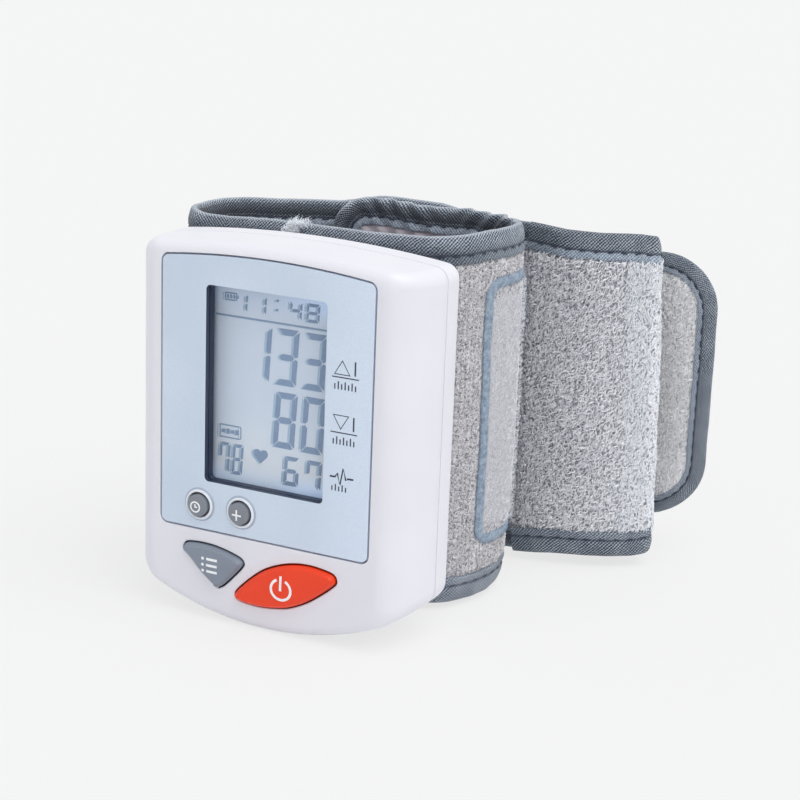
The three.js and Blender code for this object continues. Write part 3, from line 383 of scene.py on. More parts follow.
def pile(name, dark, mid, light, size=1.0, streaks=(1, 1), pale_span=None):
    """Unbroken loop pile: worm-like curls that run every way, with dark gaps of painted shade between them.
    Along the cloth it pales over the span between the first two given distances and darkens again over
    the span between the last two.
    """
    finish = Finish(name)
    spot = finish.stretched(finish.cloth_place(), streaks[0] / size, streaks[1] / size)
    axes = finish.axes(spot)
    bent = finish.noise(spot, 0.9, 2)
    skewed = {0: axes + axes.output("Y") * 0.7 + bent, 1: axes.output("Y") - axes * 0.5}
    skewed = finish.node("ShaderNodeCombineXYZ", None, skewed)
    crossed = finish.stretched(finish.stretched(skewed, 0.75, 1.2), 1, -1)
    first = 1 - (finish.noise(finish.stretched(skewed, 1.35, 0.75), 1.05, 1) * 2 - 1).absolute() * 6
    second = 1 - (finish.noise(crossed, 1.2, 1) * 2 - 1).absolute() * 6
    curls = first.within(-0.35, 0.95).larger(second.within(-0.35, 0.95) * 0.85)
    fine = finish.noise(spot, 3.4, 2, 0.7)
    wales = ((axes + bent * 0.9) * 5.2).sine() * 0.06
    height = curls * 0.56 + fine * 0.42 + bent * 0.3 + wales - 0.24
    # The low places between the curls take a darker colour, which is painted shade.
    low = finish.mix(height.within(-0.08, 0.4), dark, mid)
    tone = finish.mix(height.within(0.3, 0.78), low, light)
    tone = finish.mix(finish.noise(spot, 0.1, 2).within(0.35, 0.75) * 0.2, tone, mid)
    if pale_span:
        along = finish.axes(finish.cloth_place())
        share = along.within(*pale_span[:2]) * (1 - along.within(*pale_span[2:])) * 0.8
        tone = finish.mix(share, tone, paint(204, 208, 217))
    return finish.surface({
        "Base Color": tone,
        "Roughness": 0.9,
        "Specular IOR Level": 0.15,
        "Sheen Weight": 0.25,
        "Sheen Roughness": 0.6,
        "Normal": finish.bump(height, 0.9, 0.5 * size),
    })


def lining_cloth():
    """Smooth, thin woven lining with a pink cast."""
    finish = Finish("lining_cloth")
    threads = 18
    spot = finish.cloth_place()
    along = finish.axes(spot)
    warp = (along * threads).sine() * 0.5 + 0.5
    weft = (along.output("Y") * threads).sine() * 0.5 + 0.5
    soft = finish.noise(spot, 0.3, 3)
    weave = warp * 0.5 + weft * 0.5
    return finish.surface({
        "Base Color": finish.mix(weave * 0.5 + soft * 0.5, paint(176, 167, 177), paint(208, 200, 208)),
        "Roughness": weave * 0.1 + 0.75,
        "Sheen Weight": 0.2,
        "Normal": finish.bump(weave * 0.5 + soft * 2, 0.5, 0.15),
    })


def thread(name, colour, shade):
    """Spun yarn, uneven along its plies."""
    finish = Finish(name)
    ply = finish.noise(finish.solid_place(4), 1, 2)
    return finish.surface({
        "Base Color": finish.mix(ply.within(0.3, 0.7), colour, shade),
        "Roughness": ply * 0.1 + 0.7,
        "Sheen Weight": 0.2,
    })


def patch_edging():
    """Flat blue-grey edging of the patch, mottled where it was pressed down."""
    finish = Finish("patch_edging")
    mottle = finish.noise(finish.solid_place(0.9), 1, 3, 0.65)
    height = mottle + finish.noise(finish.solid_place(3.5), 1, 2) * 0.5
    return finish.surface({
        "Base Color": finish.mix(height.within(0.45, 1.0), paint(110, 128, 147), paint(164, 177, 192)),
        "Roughness": 0.8,
        "Specular IOR Level": 0.25,
        "Normal": finish.bump(height, 0.6, 0.12),
    })


def circuit_green():
    """Green lacquer over the raised tracks of the board."""
    finish = Finish("board_lacquer")
    copper = finish.noise(finish.solid_place(0.8), 1, 1)
    track = copper.within(0.5, 0.55)
    return finish.surface({
        "Base Color": finish.mix(track, paint(38, 92, 60), paint(58, 118, 78)),
        "Roughness": copper * 0.1 + 0.3,
        "Normal": finish.bump(track, 0.4, 0.03),
    })


def cell_wrap():
    """Plain jacket of a cell: dark below and scuffed silver above."""
    finish = Finish("cell_wrap")
    height = finish.axes(finish.solid_place()).output("Z")
    scuff = finish.noise(finish.solid_place(0.7), 1, 3)
    silver = finish.mix(scuff, paint(178, 182, 188), paint(196, 200, 206))
    return finish.surface({
        "Base Color": finish.mix(height.within(44, 44.5), paint(64, 92, 120), silver),
        "Metallic": 0.4,
        "Roughness": scuff * 0.15 + 0.28,
    })


def floor_finish():
    """Pale paper that catches the shadow, washed out to the camera as in a product picture."""
    finish = Finish("floor_paper")
    tooth = finish.noise(finish.solid_place(0.02), 1, 2)
    grey = finish.mix(tooth * 0.3, paint(238, 238, 238), paint(236, 236, 237))
    paper = finish.node("ShaderNodeBsdfDiffuse", None, {"Color": grey})
    glow = finish.node("ShaderNodeEmission", None, {"Color": studio_white})
    both = finish.node("ShaderNodeMixShader", None, {0: finish.seen() * 0.79, 1: paper, 2: glow})
    finish.node("ShaderNodeOutputMaterial", None, {"Surface": both})
    return finish.owner


white_plastic = moulded("cover_plastic", paint(232, 231, 238), paint(228, 227, 235), 0.34, 0.012)
plate_film = sprayed_plate()
dark_plastic = moulded("dark_plastic", paint(52, 60, 76), paint(44, 50, 64), 0.45)
frame_plastic = moulded("display_frame", paint(44, 54, 78), paint(38, 47, 70), 0.4)
# Dark wall of the display window; the front cover's key openings take it as painted shade.
window_wall = moulded("window_wall", paint(52, 64, 84), paint(46, 57, 76), 0.5)
grey_key = moulded("round_key_plastic", paint(132, 137, 146), paint(122, 127, 137), 0.36)
slate_key = moulded("memory_key_plastic", paint(134, 142, 156), paint(126, 135, 149), 0.4)
orange_key = moulded("power_key_plastic", paint(244, 61, 2), paint(238, 54, 0), 0.42)
rubber = moulded("rubber", paint(92, 95, 99), paint(80, 83, 88), 0.7)
tube_plastic = moulded("tube_plastic", paint(214, 219, 222), paint(202, 208, 212), 0.3)
lens_plastic = clear_lens()
display_grey = display_glass()
crystal_ink = printed("crystal_ink", paint(84, 128, 176), paint(74, 118, 166))
crystal_shade = printed("crystal_shade", paint(158, 192, 218), paint(152, 186, 213))
label_ink = printed("label_ink", paint(52, 58, 74), paint(64, 70, 86))
key_ink = printed("key_ink", paint(250, 251, 252), paint(240, 243, 246))
bright_lip = moulded("lip_silver", paint(236, 240, 246), paint(226, 231, 240), 0.25)
# Grey of the lips' outer slope, which is painted shade.
lip_slope_shade = moulded("lip_slope_shade", paint(170, 180, 196), paint(160, 171, 188), 0.4)
steel = metal("steel", paint(186, 189, 194), paint(170, 174, 180), 0.25)
board_green = circuit_green()
cell_metal = cell_wrap()
# Cuff tape: painted highlight on its crown, painted shade low down behind the housing.
tape = tape_weave("tape_weave", flange=0.35, crown=0.5, low=0.6)
# A darker copy for the tape's inner face, with painted shade in its middle.
tape_inside_shaded = tape_weave("tape_inside_shaded", 0.82, 0.8, hollow=0.7)
tape_shaded = tape_weave("tape_shaded", 0.9)
# The band's tape with the loop's shadow painted over the start of its run.
tape_loop_shadow = tape_weave("tape_loop_shadow", 0.9, loop_shadow=0.45)
tape_pressed = tape_weave("tape_pressed", 0.92, 0.55, 0.6)
loop_greys = paint(66, 67, 78), paint(154, 154, 163), paint(240, 240, 247)
curly_pile = pile("curly_pile", *loop_greys, 0.85, pale_span=(72, 91, 97, 104))
wrap_pile = pile("wrap_pile", *loop_greys, 0.85)
fine_pile = pile("fine_pile", paint(86, 84, 90), paint(171, 168, 173), paint(246, 245, 248), 0.8)
# The tab's pile greys are lighter than the band's as painted light against the shade of the fold.
lit_streak_greys = paint(172, 172, 178), paint(252, 251, 254), paint(255, 255, 255)
streaked_pile = pile("streaked_pile", *lit_streak_greys, 1.2, (1.1, 0.8))
smooth_pile = pile("smooth_pile", paint(158, 158, 166), paint(200, 199, 206), paint(226, 225, 231), 0.5)
loop_yarn = thread("loop_yarn", paint(255, 255, 255), paint(222, 222, 230))
warm_yarn = thread("warm_yarn", paint(246, 244, 246), paint(204, 201, 204))
# Near-white yarn for the tab's curls, as painted light against the fold's shade.
lit_tab_yarn = thread("lit_tab_yarn", paint(255, 255, 255), paint(250, 249, 251))
fray_yarn = thread("fray_yarn", paint(252, 254, 255), paint(236, 241, 250))
lining = lining_cloth()
border_tape = patch_edging()
dark_thread = thread("dark_thread", paint(24, 33, 50), paint(38, 49, 70))

# Making of pieces


def mesh_object(name, points, faces, finishes=(), uv=None, finish_of_face=None, angle=40):
    """A smooth-shaded mesh whose edges stay sharp past the angle, with places on the cloth as its UV map."""
    mesh = bpy.data.meshes.new(name)
    mesh.from_pydata(place(points).tolist(), [], [list(map(int, f)) for f in faces])
    for finish in finishes:
        mesh.materials.append(finish)
    if uv is not None:
        corner = np.zeros(len(mesh.loops), np.int32)
        mesh.loops.foreach_get("vertex_index", corner)
        layer = mesh.uv_layers.new(name="cloth")
        layer.data.foreach_set("uv", np.asarray(uv, np.float32)[corner].ravel())
    if finish_of_face is not None:
        mesh.polygons.foreach_set("material_index", np.asarray(finish_of_face, np.int32))
    mesh.shade_smooth()
    mesh.set_sharp_from_angle(angle=math.radians(angle))
    obj = bpy.data.objects.new(name, mesh)
    scene_objects.link(obj)
    return obj


def grid_faces(rows, columns, closed=True, flip=False):
    """Four-sided faces over rows of points, where each row is a closed ring or an open line."""
    first = np.arange(rows - 1)[:, None] * columns
    across = np.arange(columns if closed else columns - 1)[None, :]
    following = (across + 1) % columns
    corners = [first + across, first + following, first + columns + following, first + columns + across]
    if flip:
        corners = corners[::-1]
    return np.stack([c.ravel() for c in corners], 1).tolist()


def tube_faces(rows, columns):
    """Faces of a closed tube through rings, with its two ends last."""
    ends = [list(range(columns))[::-1], list(range((rows - 1) * columns, rows * columns))]
    return grid_faces(rows, columns) + ends


def solid(name, rings, finishes=(), angle=40):
    """A closed body through rings of equal count, capped flat at both ends."""
    rings = np.asarray(rings, float)
    faces = tube_faces(*rings.shape[:2])
    return face_outwards(mesh_object(name, rings.reshape(-1, 3), faces, finishes, angle=angle))


def hoop(name, rings, finishes, angle=60):
    """A closed hoop through sections of equal count."""
    rings = np.asarray(rings, float)
    rows, columns = rings.shape[:2]
    faces = [[i % (rows * columns) for i in face] for face in grid_faces(rows + 1, columns)]
    return face_outwards(mesh_object(name, rings.reshape(-1, 3), faces, finishes, angle=angle))


def face_outwards(obj):
    shape = bmesh.new()
    shape.from_mesh(obj.data)
    bmesh.ops.recalc_face_normals(shape, faces=shape.faces)
    shape.to_mesh(obj.data)
    shape.free()
    return obj


def settle(obj, angle=None):
    """Turns the modifiers of a piece into its own mesh."""
    graph = bpy.context.evaluated_depsgraph_get()
    made = bpy.data.meshes.new_from_object(obj.evaluated_get(graph))
    old = obj.data
    obj.modifiers.clear()
    obj.data = made
    bpy.data.meshes.remove(old)
    if angle is not None:
        made.shade_smooth()
        made.set_sharp_from_angle(angle=math.radians(angle))


def combine(obj, tools, operation, angle=32):
    """Cuts the tools out of a piece, adds them to it or keeps what they share, and removes the tools."""
    for tool in tools:
        step = obj.modifiers.new("shape", "BOOLEAN")
        step.operation = operation
        step.solver = "MANIFOLD"
        step.object = tool
    settle(obj, angle)
    for tool in tools:
        bpy.data.objects.remove(tool)
    return obj


def even_gloss(obj):
    """Lets the large faces rule the shading beside the small ones at their edges."""
    step = obj.modifiers.new("gloss", "WEIGHTED_NORMAL")
    step.keep_sharp = True
    step.weight = 80
    return obj


# Outlines in x and z


def arc(x, z, radius, start, end, steps):
    """Points on a round arc, by angles in degrees anticlockwise from the x axis."""
    angles = np.radians(np.linspace(start, end, steps + 1))
    return [(x + radius * math.cos(a), z + radius * math.sin(a)) for a in angles]


def rounded_box(width, height, radius, x, z, steps=8):
    points = []
    for right, high, start in ((1, 1, 0), (-1, 1, 90), (-1, -1, 180), (1, -1, 270)):
        corner_x = x + right * (width / 2 - radius)
        corner_z = z + high * (height / 2 - radius)
        points += arc(corner_x, corner_z, radius, start, start + 90, steps)
    return points


def oblong(x0, x1, z0, z1):
    return [(x0, z0), (x1, z0), (x1, z1), (x0, z1)]


def disc(x, z, radius, steps=48):
    return arc(x, z, radius, 0, 360, steps)[:-1]


def grown(points, distance):
    """A closed anticlockwise outline grown outwards, or shrunk where the distance is negative."""
    p = np.asarray(points, float)
    along = np.roll(p, -1, 0) - np.roll(p, 1, 0)
    along /= np.linalg.norm(along, axis=1)[:, None]
    return [(x, z) for x, z in p + distance * np.stack([along[:, 1], -along[:, 0]], 1)]


def smooth_outline(shares, width, height, x, z, steps=12):
    """A closed curve through knots that are shares of its width and height, in anticlockwise order."""
    knots = np.array([(x + a * width, z + b * height) for a, b in shares])
    points = []
    for i in range(len(knots)):
        a, b, c, d = (knots[(i + k) % len(knots)] for k in (-1, 0, 1, 2))
        bend, twist = 2 * a - 5 * b + 4 * c - d, 3 * b - a - 3 * c + d
        for t in np.arange(steps) / steps:
            points.append(tuple(0.5 * (2 * b + (c - a) * t + bend * t * t + twist * t ** 3)))
    area = sum(p[0] * q[1] - q[0] * p[1] for p, q in zip(points, points[1:] + points[:1]))
    return points if area > 0 else points[::-1]


def at_depth(points, y):
    return [(x, y, z) for x, z in points]


def prism(name, points, front, back, finishes=()):
    return solid(name, [at_depth(points, front), at_depth(points, back)], finishes)


def mouth_cutter(name, outline, back, radius):
    """A cutter from the face inwards that leaves a rounded edge round its opening. outline takes a growth."""
    rings = [at_depth(outline(radius), -1)]
    for angle in np.radians(np.linspace(0, 90, 5)):
        rings.append(at_depth(outline(radius * (1 - math.sin(angle))), radius * (1 - math.cos(angle))))
    return solid(name, rings + [at_depth(outline(0), back)])


def turned(name, profile, x, z, finishes=(), sides=64, angle=35):
    """A turned body about an axis along y. The profile holds radius and y, from one end to the other."""
    rings = [
        [(x + r * math.cos(a), y, z + r * math.sin(a)) for a in np.arange(sides) * 2 * math.pi / sides]
        for r, y in profile
    ]
    return solid(name, rings, finishes, angle)


def finish_piece(obj, body, slot, *stands_for):
    """Makes a piece ride on its body and hides the nodes that it stands for. Its slot is not used."""
    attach(obj, body)
    name_slot(stands_for)


def name_slot(stands_for):
    if stands_for:
        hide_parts(*stands_for)


# Housing

housing_height = 75.3
face_half_width = 24.2
flank_width = 6.8
flank_depth = 12.6
top_arc_radius = 233
bottom_arc_radius = 61
top_corner_radius = 3
bottom_corner_radius = 4.6
front_edge_radius = 2.3
front_cover_depth = 13
rear_start = 13.3
housing_depth = 18.6
back_edge_radius = 1.2
cover_wall = 1.8
front_wall = 3
bulge_depth = 22.6
bulge_half_width = 26
bulge_bottom, bulge_top = 7.5, 67.8
bulge_corner_radius = 4
bulge_edge_radius = 1.2
rear_wall = 1.55
seam_round = 0.18
screw_places = [(-22.6, 10.6), (22.6, 10.6), (-22.6, 64.7), (22.6, 64.7)]
post_radius = 2.6
screw_radius, screw_head_radius = 1, 2
port_place, port_radius = (4, 22), 2.3
door_edges = {"x0": -32, "x1": -23, "y0": 9.9, "y1": 23.6, "z0": 13.9, "z1": 61.6}
opening_gap = 0.3


def housing_outline(y, half_width, inset, extra=0.0):
    low_radius = max(bottom_corner_radius - extra, cover_wall)
    high_radius = max(top_corner_radius - extra, cover_wall)
    low_x = half_width - low_radius
    low_z = inset + bottom_arc_radius - math.sqrt((bottom_arc_radius - low_radius) ** 2 - low_x ** 2)
    high_x = half_width - high_radius
    top = housing_height - inset
    high_z = top - top_arc_radius + math.sqrt((top_arc_radius - high_radius) ** 2 - high_x ** 2)
    low_angle = math.degrees(math.atan2(low_x, inset + bottom_arc_radius - low_z))
    high_angle = math.degrees(math.atan2(high_x, high_z - top + top_arc_radius))
    right = arc(0, inset + bottom_arc_radius, bottom_arc_radius, -90, low_angle - 90, 24)[:-1]
    right += arc(low_x, low_z, low_radius, low_angle - 90, 0, 12)
    right += arc(high_x, high_z, high_radius, 0, 90 - high_angle, 10)
    right += arc(0, top - top_arc_radius, top_arc_radius, 90 - high_angle, 90, 20)[1:]
    left = [(-x, z) for x, z in reversed(right[1:-1])]
    return at_depth(right + left, y)


def flank(y):
    share = min(y / flank_depth, 1)
    return face_half_width + flank_width * math.sqrt(1 - (1 - share) ** 2)


def front_inset(y):
    rest = max(front_edge_radius - y, 0)
    return front_edge_radius - math.sqrt(front_edge_radius ** 2 - rest ** 2)


def housing_section(y, inset=0.0, extra=0.0):
    """The housing's outline at a depth, drawn in by the inset and with tighter corners by the extra."""
    return housing_outline(y, flank(y) - inset, front_inset(y) + inset, extra)


def outside_rings(start, end, round_start=0.0, round_end=0.0):
    """Rings of the housing's outside, with its seam edges slightly rounded."""
    rings = []
    if start == 0:
        rings.append(housing_outline(0, face_half_width - 0.5, front_edge_radius + 0.5))
    for angle in np.radians([0, 30, 60]) if round_start else ():
        y = start + round_start * (1 - math.cos(angle))
        rings.append(housing_section(y, round_start * (1 - math.sin(angle))))
    low, high = start + round_start, end - round_end
    if end == housing_depth:
        high = housing_depth - back_edge_radius
    places = [flank_depth * (1 - math.cos(math.pi / 2 * i / 22)) for i in range(23)] + [16, 17.4]
    between = [y for y in places if low + 0.02 < y < high - 0.02]
    rings += [housing_section(y) for y in [low, *between, high]]
    for angle in np.radians([30, 60, 90]) if round_end else ():
        rings.append(housing_section(high + round_end * math.sin(angle), round_end * (1 - math.cos(angle))))
    for angle in np.radians(np.linspace(0, 90, 9)[1:]) if end == housing_depth else ():
        inset = back_edge_radius * (1 - math.cos(angle))
        rings.append(housing_section(high + back_edge_radius * math.sin(angle), inset, inset))
    return rings


def hollow_rings(start, end):
    places = [start] + [y for y in (4, 5, 6.5, 8.5, 11) if start < y < end] + [end]
    return [housing_section(y, cover_wall, cover_wall) for y in places]


def bulge_rings(start, end, inset, edge=0.0):
    """Rings of the bulge at the back, drawn in by the inset and with its back edge rounded."""
    def outline(less):
        width = 2 * (bulge_half_width - inset - less)
        height = bulge_top - bulge_bottom - 2 * (inset + less)
        radius = bulge_corner_radius - inset - less
        return rounded_box(width, height, radius, 0, (bulge_top + bulge_bottom) / 2)

    rings = [at_depth(outline(0), start), at_depth(outline(0), end - edge)]
    for angle in np.radians([22, 45, 68, 90]) if edge else ():
        rings.append(at_depth(outline(edge * (1 - math.cos(angle))), end - edge + edge * math.sin(angle)))
    return rings


def door_block(extra):
    """The space that the battery door takes up, wider by the extra where it meets the covers."""
    x0, x1, y0, y1, z0, z1 = (door_edges[key] for key in ("x0", "x1", "y0", "y1", "z0", "z1"))
    return prism("door_block", oblong(x0, x1 + extra, z0 - extra, z1 + extra), y0 - extra, y1)


def rod(x, z, radius, front, back):
    return prism("rod", disc(x, z, radius, 32), front, back)


plate_half_width = 22.8
plate_bottom, plate_top = 18.5, 71.8
plate_arch = 1.3
plate_corner_radius = 1.4
plate_groove = 0.35
plate_thickness = 1.2
plate_edge = 0.15
window_width, window_height = 26, 38.7
window_z = 47.7
window_corner_radius = 0.9
round_key_radius = 2.2
round_key_z = 23.4
round_keys = {"clock": -13.95, "plus": -4.65}
memory_shares = [
    (-0.495, 0.37), (-0.44, 0.46), (-0.25, 0.5), (0, 0.49),
    (0.24, 0.42), (0.44, 0.32), (0.5, 0.22), (0.47, 0.1),
    (0.33, -0.17), (0.18, -0.43), (0.115, -0.495), (0.06, -0.5), (-0.2, -0.18), (-0.39, 0.13), (-0.5, 0.27),
]
power_shares = [
    (-0.5, -0.38), (-0.467, -0.26), (-0.345, 0), (-0.214, 0.22), (-0.072, 0.37), (0.09, 0.47), (0.255, 0.5),
    (0.415, 0.46), (0.482, 0.41), (0.5, 0.31), (0.474, 0.22), (0.348, -0.01), (0.21, -0.22), (0.06, -0.38),
    (-0.06, -0.45), (-0.23, -0.5), (-0.395, -0.49), (-0.48, -0.45),
]
memory_place, memory_size = (-10.7, 11.42), (13.35, 8.0)
power_place, power_size = (5.4, 10.35), (21.9, 10.15)


def plate_outline(extra):
    half, low, high = plate_half_width + extra, plate_bottom - extra, plate_top + extra
    radius = plate_corner_radius + extra
    points = arc(radius - half, low + radius, radius, 180, 270, 8)
    points += arc(half - radius, low + radius, radius, 270, 360, 8)
    points += arc(half - radius, high - radius, radius, 0, 90, 8)
    for share in np.linspace(1, -1, 33)[1:-1]:
        points.append((share * (half - radius), high + plate_arch * (1 - share * share)))
    return points + arc(radius - half, high - radius, radius, 90, 180, 8)


def window_outline(extra):
    width, height = window_width + 2 * extra, window_height + 2 * extra
    return rounded_box(width, height, window_corner_radius + extra, 0, window_z)


memory_outline = smooth_outline(memory_shares, *memory_size, *memory_place)
power_outline = smooth_outline(power_shares, *power_size, *power_place)


def key_rods(start, end):
    """Cutters of the openings for the two round keys."""
    return [rod(x, round_key_z, round_key_radius + opening_gap, start, end) for x in round_keys.values()]


def screw_rods(radius, start, end):
    return [rod(x, z, radius, start, end) for x, z in screw_places]


def darken_walls(obj, finish, dark, x_range, front, z_range):
    """Gives the walls of the openings in a piece, behind the front, a finish of their own."""
    obj.data.materials.clear()
    obj.data.materials.append(finish)
    obj.data.materials.append(dark)
    low, high = place([(x_range[0], front, z_range[0]), (x_range[1], 30, z_range[1])])
    for face in obj.data.polygons:
        spot = np.array(face.center)
        inside = np.all(spot > low) and np.all(spot < high)
        face.material_index = int(inside and abs(face.normal.y) < 0.5)


def make_front_cover():
    shell_rings = outside_rings(0, front_cover_depth, 0, seam_round)
    shell = solid("front_cover_shell", shell_rings, [white_plastic])
    combine(shell, [solid("hollow", hollow_rings(front_wall, front_cover_depth + 1))], "DIFFERENCE")
    combine(shell, screw_rods(post_radius, front_wall - 0.3, front_cover_depth), "UNION")
    behind = front_wall + 1
    cutters = [
        mouth_cutter("pocket", lambda g: plate_outline(plate_groove + g), plate_thickness + 0.3, 0.18),
        prism("window_hole", window_outline(2), 0, behind),
        mouth_cutter("memory_hole", lambda g: grown(memory_outline, opening_gap + g), behind, 0.25),
        mouth_cutter("power_hole", lambda g: grown(power_outline, opening_gap + g), behind, 0.25),
        door_block(opening_gap),
    ]
    cutters += key_rods(0, behind)
    cutters += screw_rods(screw_radius, front_cover_depth - 6, front_cover_depth + 1)
    combine(shell, cutters, "DIFFERENCE")
    # Painted shade: the walls of the key openings take the dark wall finish, so the gaps round the keys look
    # deep.
    darken_walls(shell, white_plastic, window_wall, (-19, 19), 0.4, (4, 17))
    even_gloss(shell)
    finish_piece(shell, "housing", "cover_white", "front_cover")


def make_seam_tongue():
    """Low wall that stands behind the seam, so that no gap shows through."""
    outside, inside = 0.45, 1.3
    start, end = front_cover_depth - 0.02, rear_start + 0.3
    tongue = solid("tongue", [housing_section(y, outside, outside) for y in (start, end)])
    hollow = solid("hollow", [housing_section(y, inside, inside) for y in (start - 1, end + 1)])
    return combine(tongue, [hollow, door_block(opening_gap)], "DIFFERENCE")


def hollow_out(shell, start):
    """Takes the space inside the case, from its start back, out of a shell."""
    spaces = [
        solid("hollow", hollow_rings(start, housing_depth - cover_wall)),
        solid("bulge_hollow", bulge_rings(rear_start - 1, bulge_depth - rear_wall, cover_wall)),
    ]
    combine(shell, spaces, "DIFFERENCE")


def make_rear_cover():
    shell = solid("rear_cover_shell", outside_rings(rear_start, housing_depth, seam_round), [white_plastic])
    bulge = bulge_rings(rear_start + 0.5, bulge_depth, 0, bulge_edge_radius)
    combine(shell, [solid("bulge", bulge)], "UNION")
    hollow_out(shell, rear_start - 1)
    combine(shell, screw_rods(post_radius, rear_start, bulge_depth - rear_wall / 2), "UNION")
    behind = bulge_depth + 1
    cutters = screw_rods(screw_radius, rear_start - 1, behind)
    cutters += screw_rods(screw_head_radius, housing_depth - cover_wall, behind)
    cutters += [rod(*port_place, port_radius, housing_depth, behind), door_block(opening_gap)]
    combine(shell, cutters, "DIFFERENCE")
    combine(shell, [make_seam_tongue()], "UNION")
    even_gloss(shell)
    finish_piece(shell, "housing", "cover_white", "rear_cover")


def make_battery_door():
    skin = solid("battery_door_skin", outside_rings(0, housing_depth), [white_plastic])
    bulge = bulge_rings(rear_start, bulge_depth, 0, bulge_edge_radius)
    combine(skin, [solid("bulge", bulge)], "UNION")
    hollow_out(skin, front_wall)
    combine(skin, [door_block(0)], "INTERSECT")
    heights = [30 + 1.6 * k for k in range(7)]
    ridges = [prism("ridge", oblong(-31.35, -30.5, z - 0.35, z + 0.35), 13.5, 16.5) for z in heights]
    combine(skin, ridges, "UNION")
    step = skin.modifiers.new("edges", "BEVEL")
    step.width = 0.00015
    step.segments = 2
    step.limit_method = "ANGLE"
    step.angle_limit = math.radians(40)
    even_gloss(skin)
    finish_piece(skin, "door", "cover_white", "battery_door")


def make_faceplate():
    rings = [at_depth(plate_outline(0), plate_thickness)]
    for angle in np.radians(np.linspace(0, 90, 5)):
        outline = plate_outline(-plate_edge * (1 - math.cos(angle)))
        rings.append(at_depth(outline, plate_edge * (1 - math.sin(angle))))
    plate = solid("faceplate_film", rings, [plate_film])
    window = mouth_cutter("window", window_outline, plate_thickness + 1, 0.14)
    combine(plate, [window, *key_rods(-1, plate_thickness + 1)], "DIFFERENCE")
    half, high = window_width / 2 + 0.1, window_height / 2 + 0.1
    darken_walls(plate, plate_film, window_wall, (-half, half), 0.1, (window_z - high, window_z + high))
    even_gloss(plate)
    finish_piece(plate, "housing", "faceplate_blue", "faceplate")


lip_profile = [
    (0.3, 1.1), (0.3, -0.3), (0.36, -0.45), (0.5, -0.55),
    (0.64, -0.52), (0.76, -0.4), (0.84, -0.28), (1.0, -0.1),
    (1.2, 0.02), (1.2, 0.05),
]


def make_key_lip(name, x):
    """Silver lip round a round key, with a darker slope outside whose grey is painted shade."""
    rings = [
        [(x + reach * math.cos(a), y, round_key_z + reach * math.sin(a))
         for reach, y in ((round_key_radius + past, y) for past, y in lip_profile)]
        for a in np.arange(96) * 2 * math.pi / 96
    ]
    lip = hoop(name + "_key_lip", rings, [bright_lip, lip_slope_shade])
    slope_radius = (round_key_radius + 0.8) / 1000
    spot = place((x, 0, round_key_z))[0]
    for face in lip.data.polygons:
        if math.hypot(face.center.x - spot[0], face.center.z - spot[2]) > slope_radius:
            face.material_index = 1
    finish_piece(lip, "housing", "faceplate_blue")


# Keys

key_proud = 1.1
key_bevel = 0.62
key_crown = 0.22
key_edge = 0.16
key_base = 3.3
flange_thickness = 0.8


def key_front(share):
    """Depth of a large key's face, by the share of the way from its middle to its bevel."""
    return -key_proud - key_crown * (1 - share * share)


def make_large_key(name, outline, place_on_face, finish, slot):
    centre = np.array(place_on_face)
    bevel_foot = key_bevel - key_proud
    rings = [at_depth(outline, key_base), at_depth(outline, bevel_foot + 0.35)]
    for angle in np.radians(np.linspace(0, 90, 7)):
        inset = key_edge * (1 - math.cos(angle))
        rings.append(at_depth(grown(outline, -inset), bevel_foot + 0.3 - 0.25 * math.sin(angle)))
    bevel_top = np.array(grown(outline, -key_bevel))
    for share in (0.35, 0.7, 0.9, 1.0):
        ring = np.array(grown(outline, -key_edge)) * (1 - share) + bevel_top * share
        y = (bevel_foot + 0.05) * (1 - share) + key_front(1) * share
        rings.append(at_depth(ring, y - 0.06 * math.sin(math.pi * share)))
    for share in (0.97, 0.9, 0.75, 0.55, 0.3, 0.1):
        rings.append(at_depth(centre + (bevel_top - centre) * share, key_front(share)))
    cap = solid(name + "_cap", rings, [finish], angle=50)
    flange = prism("flange", grown(outline, 0.8), key_base, key_base + flange_thickness)
    stem = rod(*place_on_face, 1.2, key_base + 0.5, key_base + 1.3)
    combine(cap, [flange, stem], "UNION", 50)
    finish_piece(cap, name + "_key", slot, name + "_button")


def key_dome(share):
    return -1.3 + 0.22 * share ** 2.2 + 0.12 * share ** 14


def round_key_front(centre_x):
    """Depth of a round key's domed face at x and z."""
    return lambda x, z: key_dome(min(math.hypot(x - centre_x, z - round_key_z) / round_key_radius, 1))


def make_round_key(name, x):
    r = round_key_radius
    shares = (0.15, 0.3, 0.45, 0.6, 0.72, 0.82, 0.9, 0.94, 0.97, 0.99, 1.0)
    profile = [(0.02, key_dome(0))] + [(r * share, key_dome(share)) for share in shares]
    profile += [(r, -0.6), (r, 3.3), (r + 0.5, 3.3), (r + 0.5, 4.1), (1.2, 4.1), (1.2, 4.6), (0.02, 4.6)]
    cap = turned(name + "_cap", profile, x, round_key_z, [grey_key])
    finish_piece(cap, name + "_key", "key_grey", name + "_button")


# Printed marks and display segments


def stroke(points, width, closed=False):
    """Four-sided pieces of a line of even width, in x and z."""
    p = np.asarray(points, float)
    if closed:
        along = np.roll(p, -1, 0) - np.roll(p, 1, 0)
    else:
        along = np.gradient(p, axis=0)
    along /= np.linalg.norm(along, axis=1)[:, None]
    side = np.stack([-along[:, 1], along[:, 0]], 1) * width / 2
    left, right = p + side, p - side
    count = len(p)
    return [
        [tuple(left[i]), tuple(right[i]), tuple(right[(i + 1) % count]), tuple(left[(i + 1) % count])]
        for i in range(count if closed else count - 1)
    ]


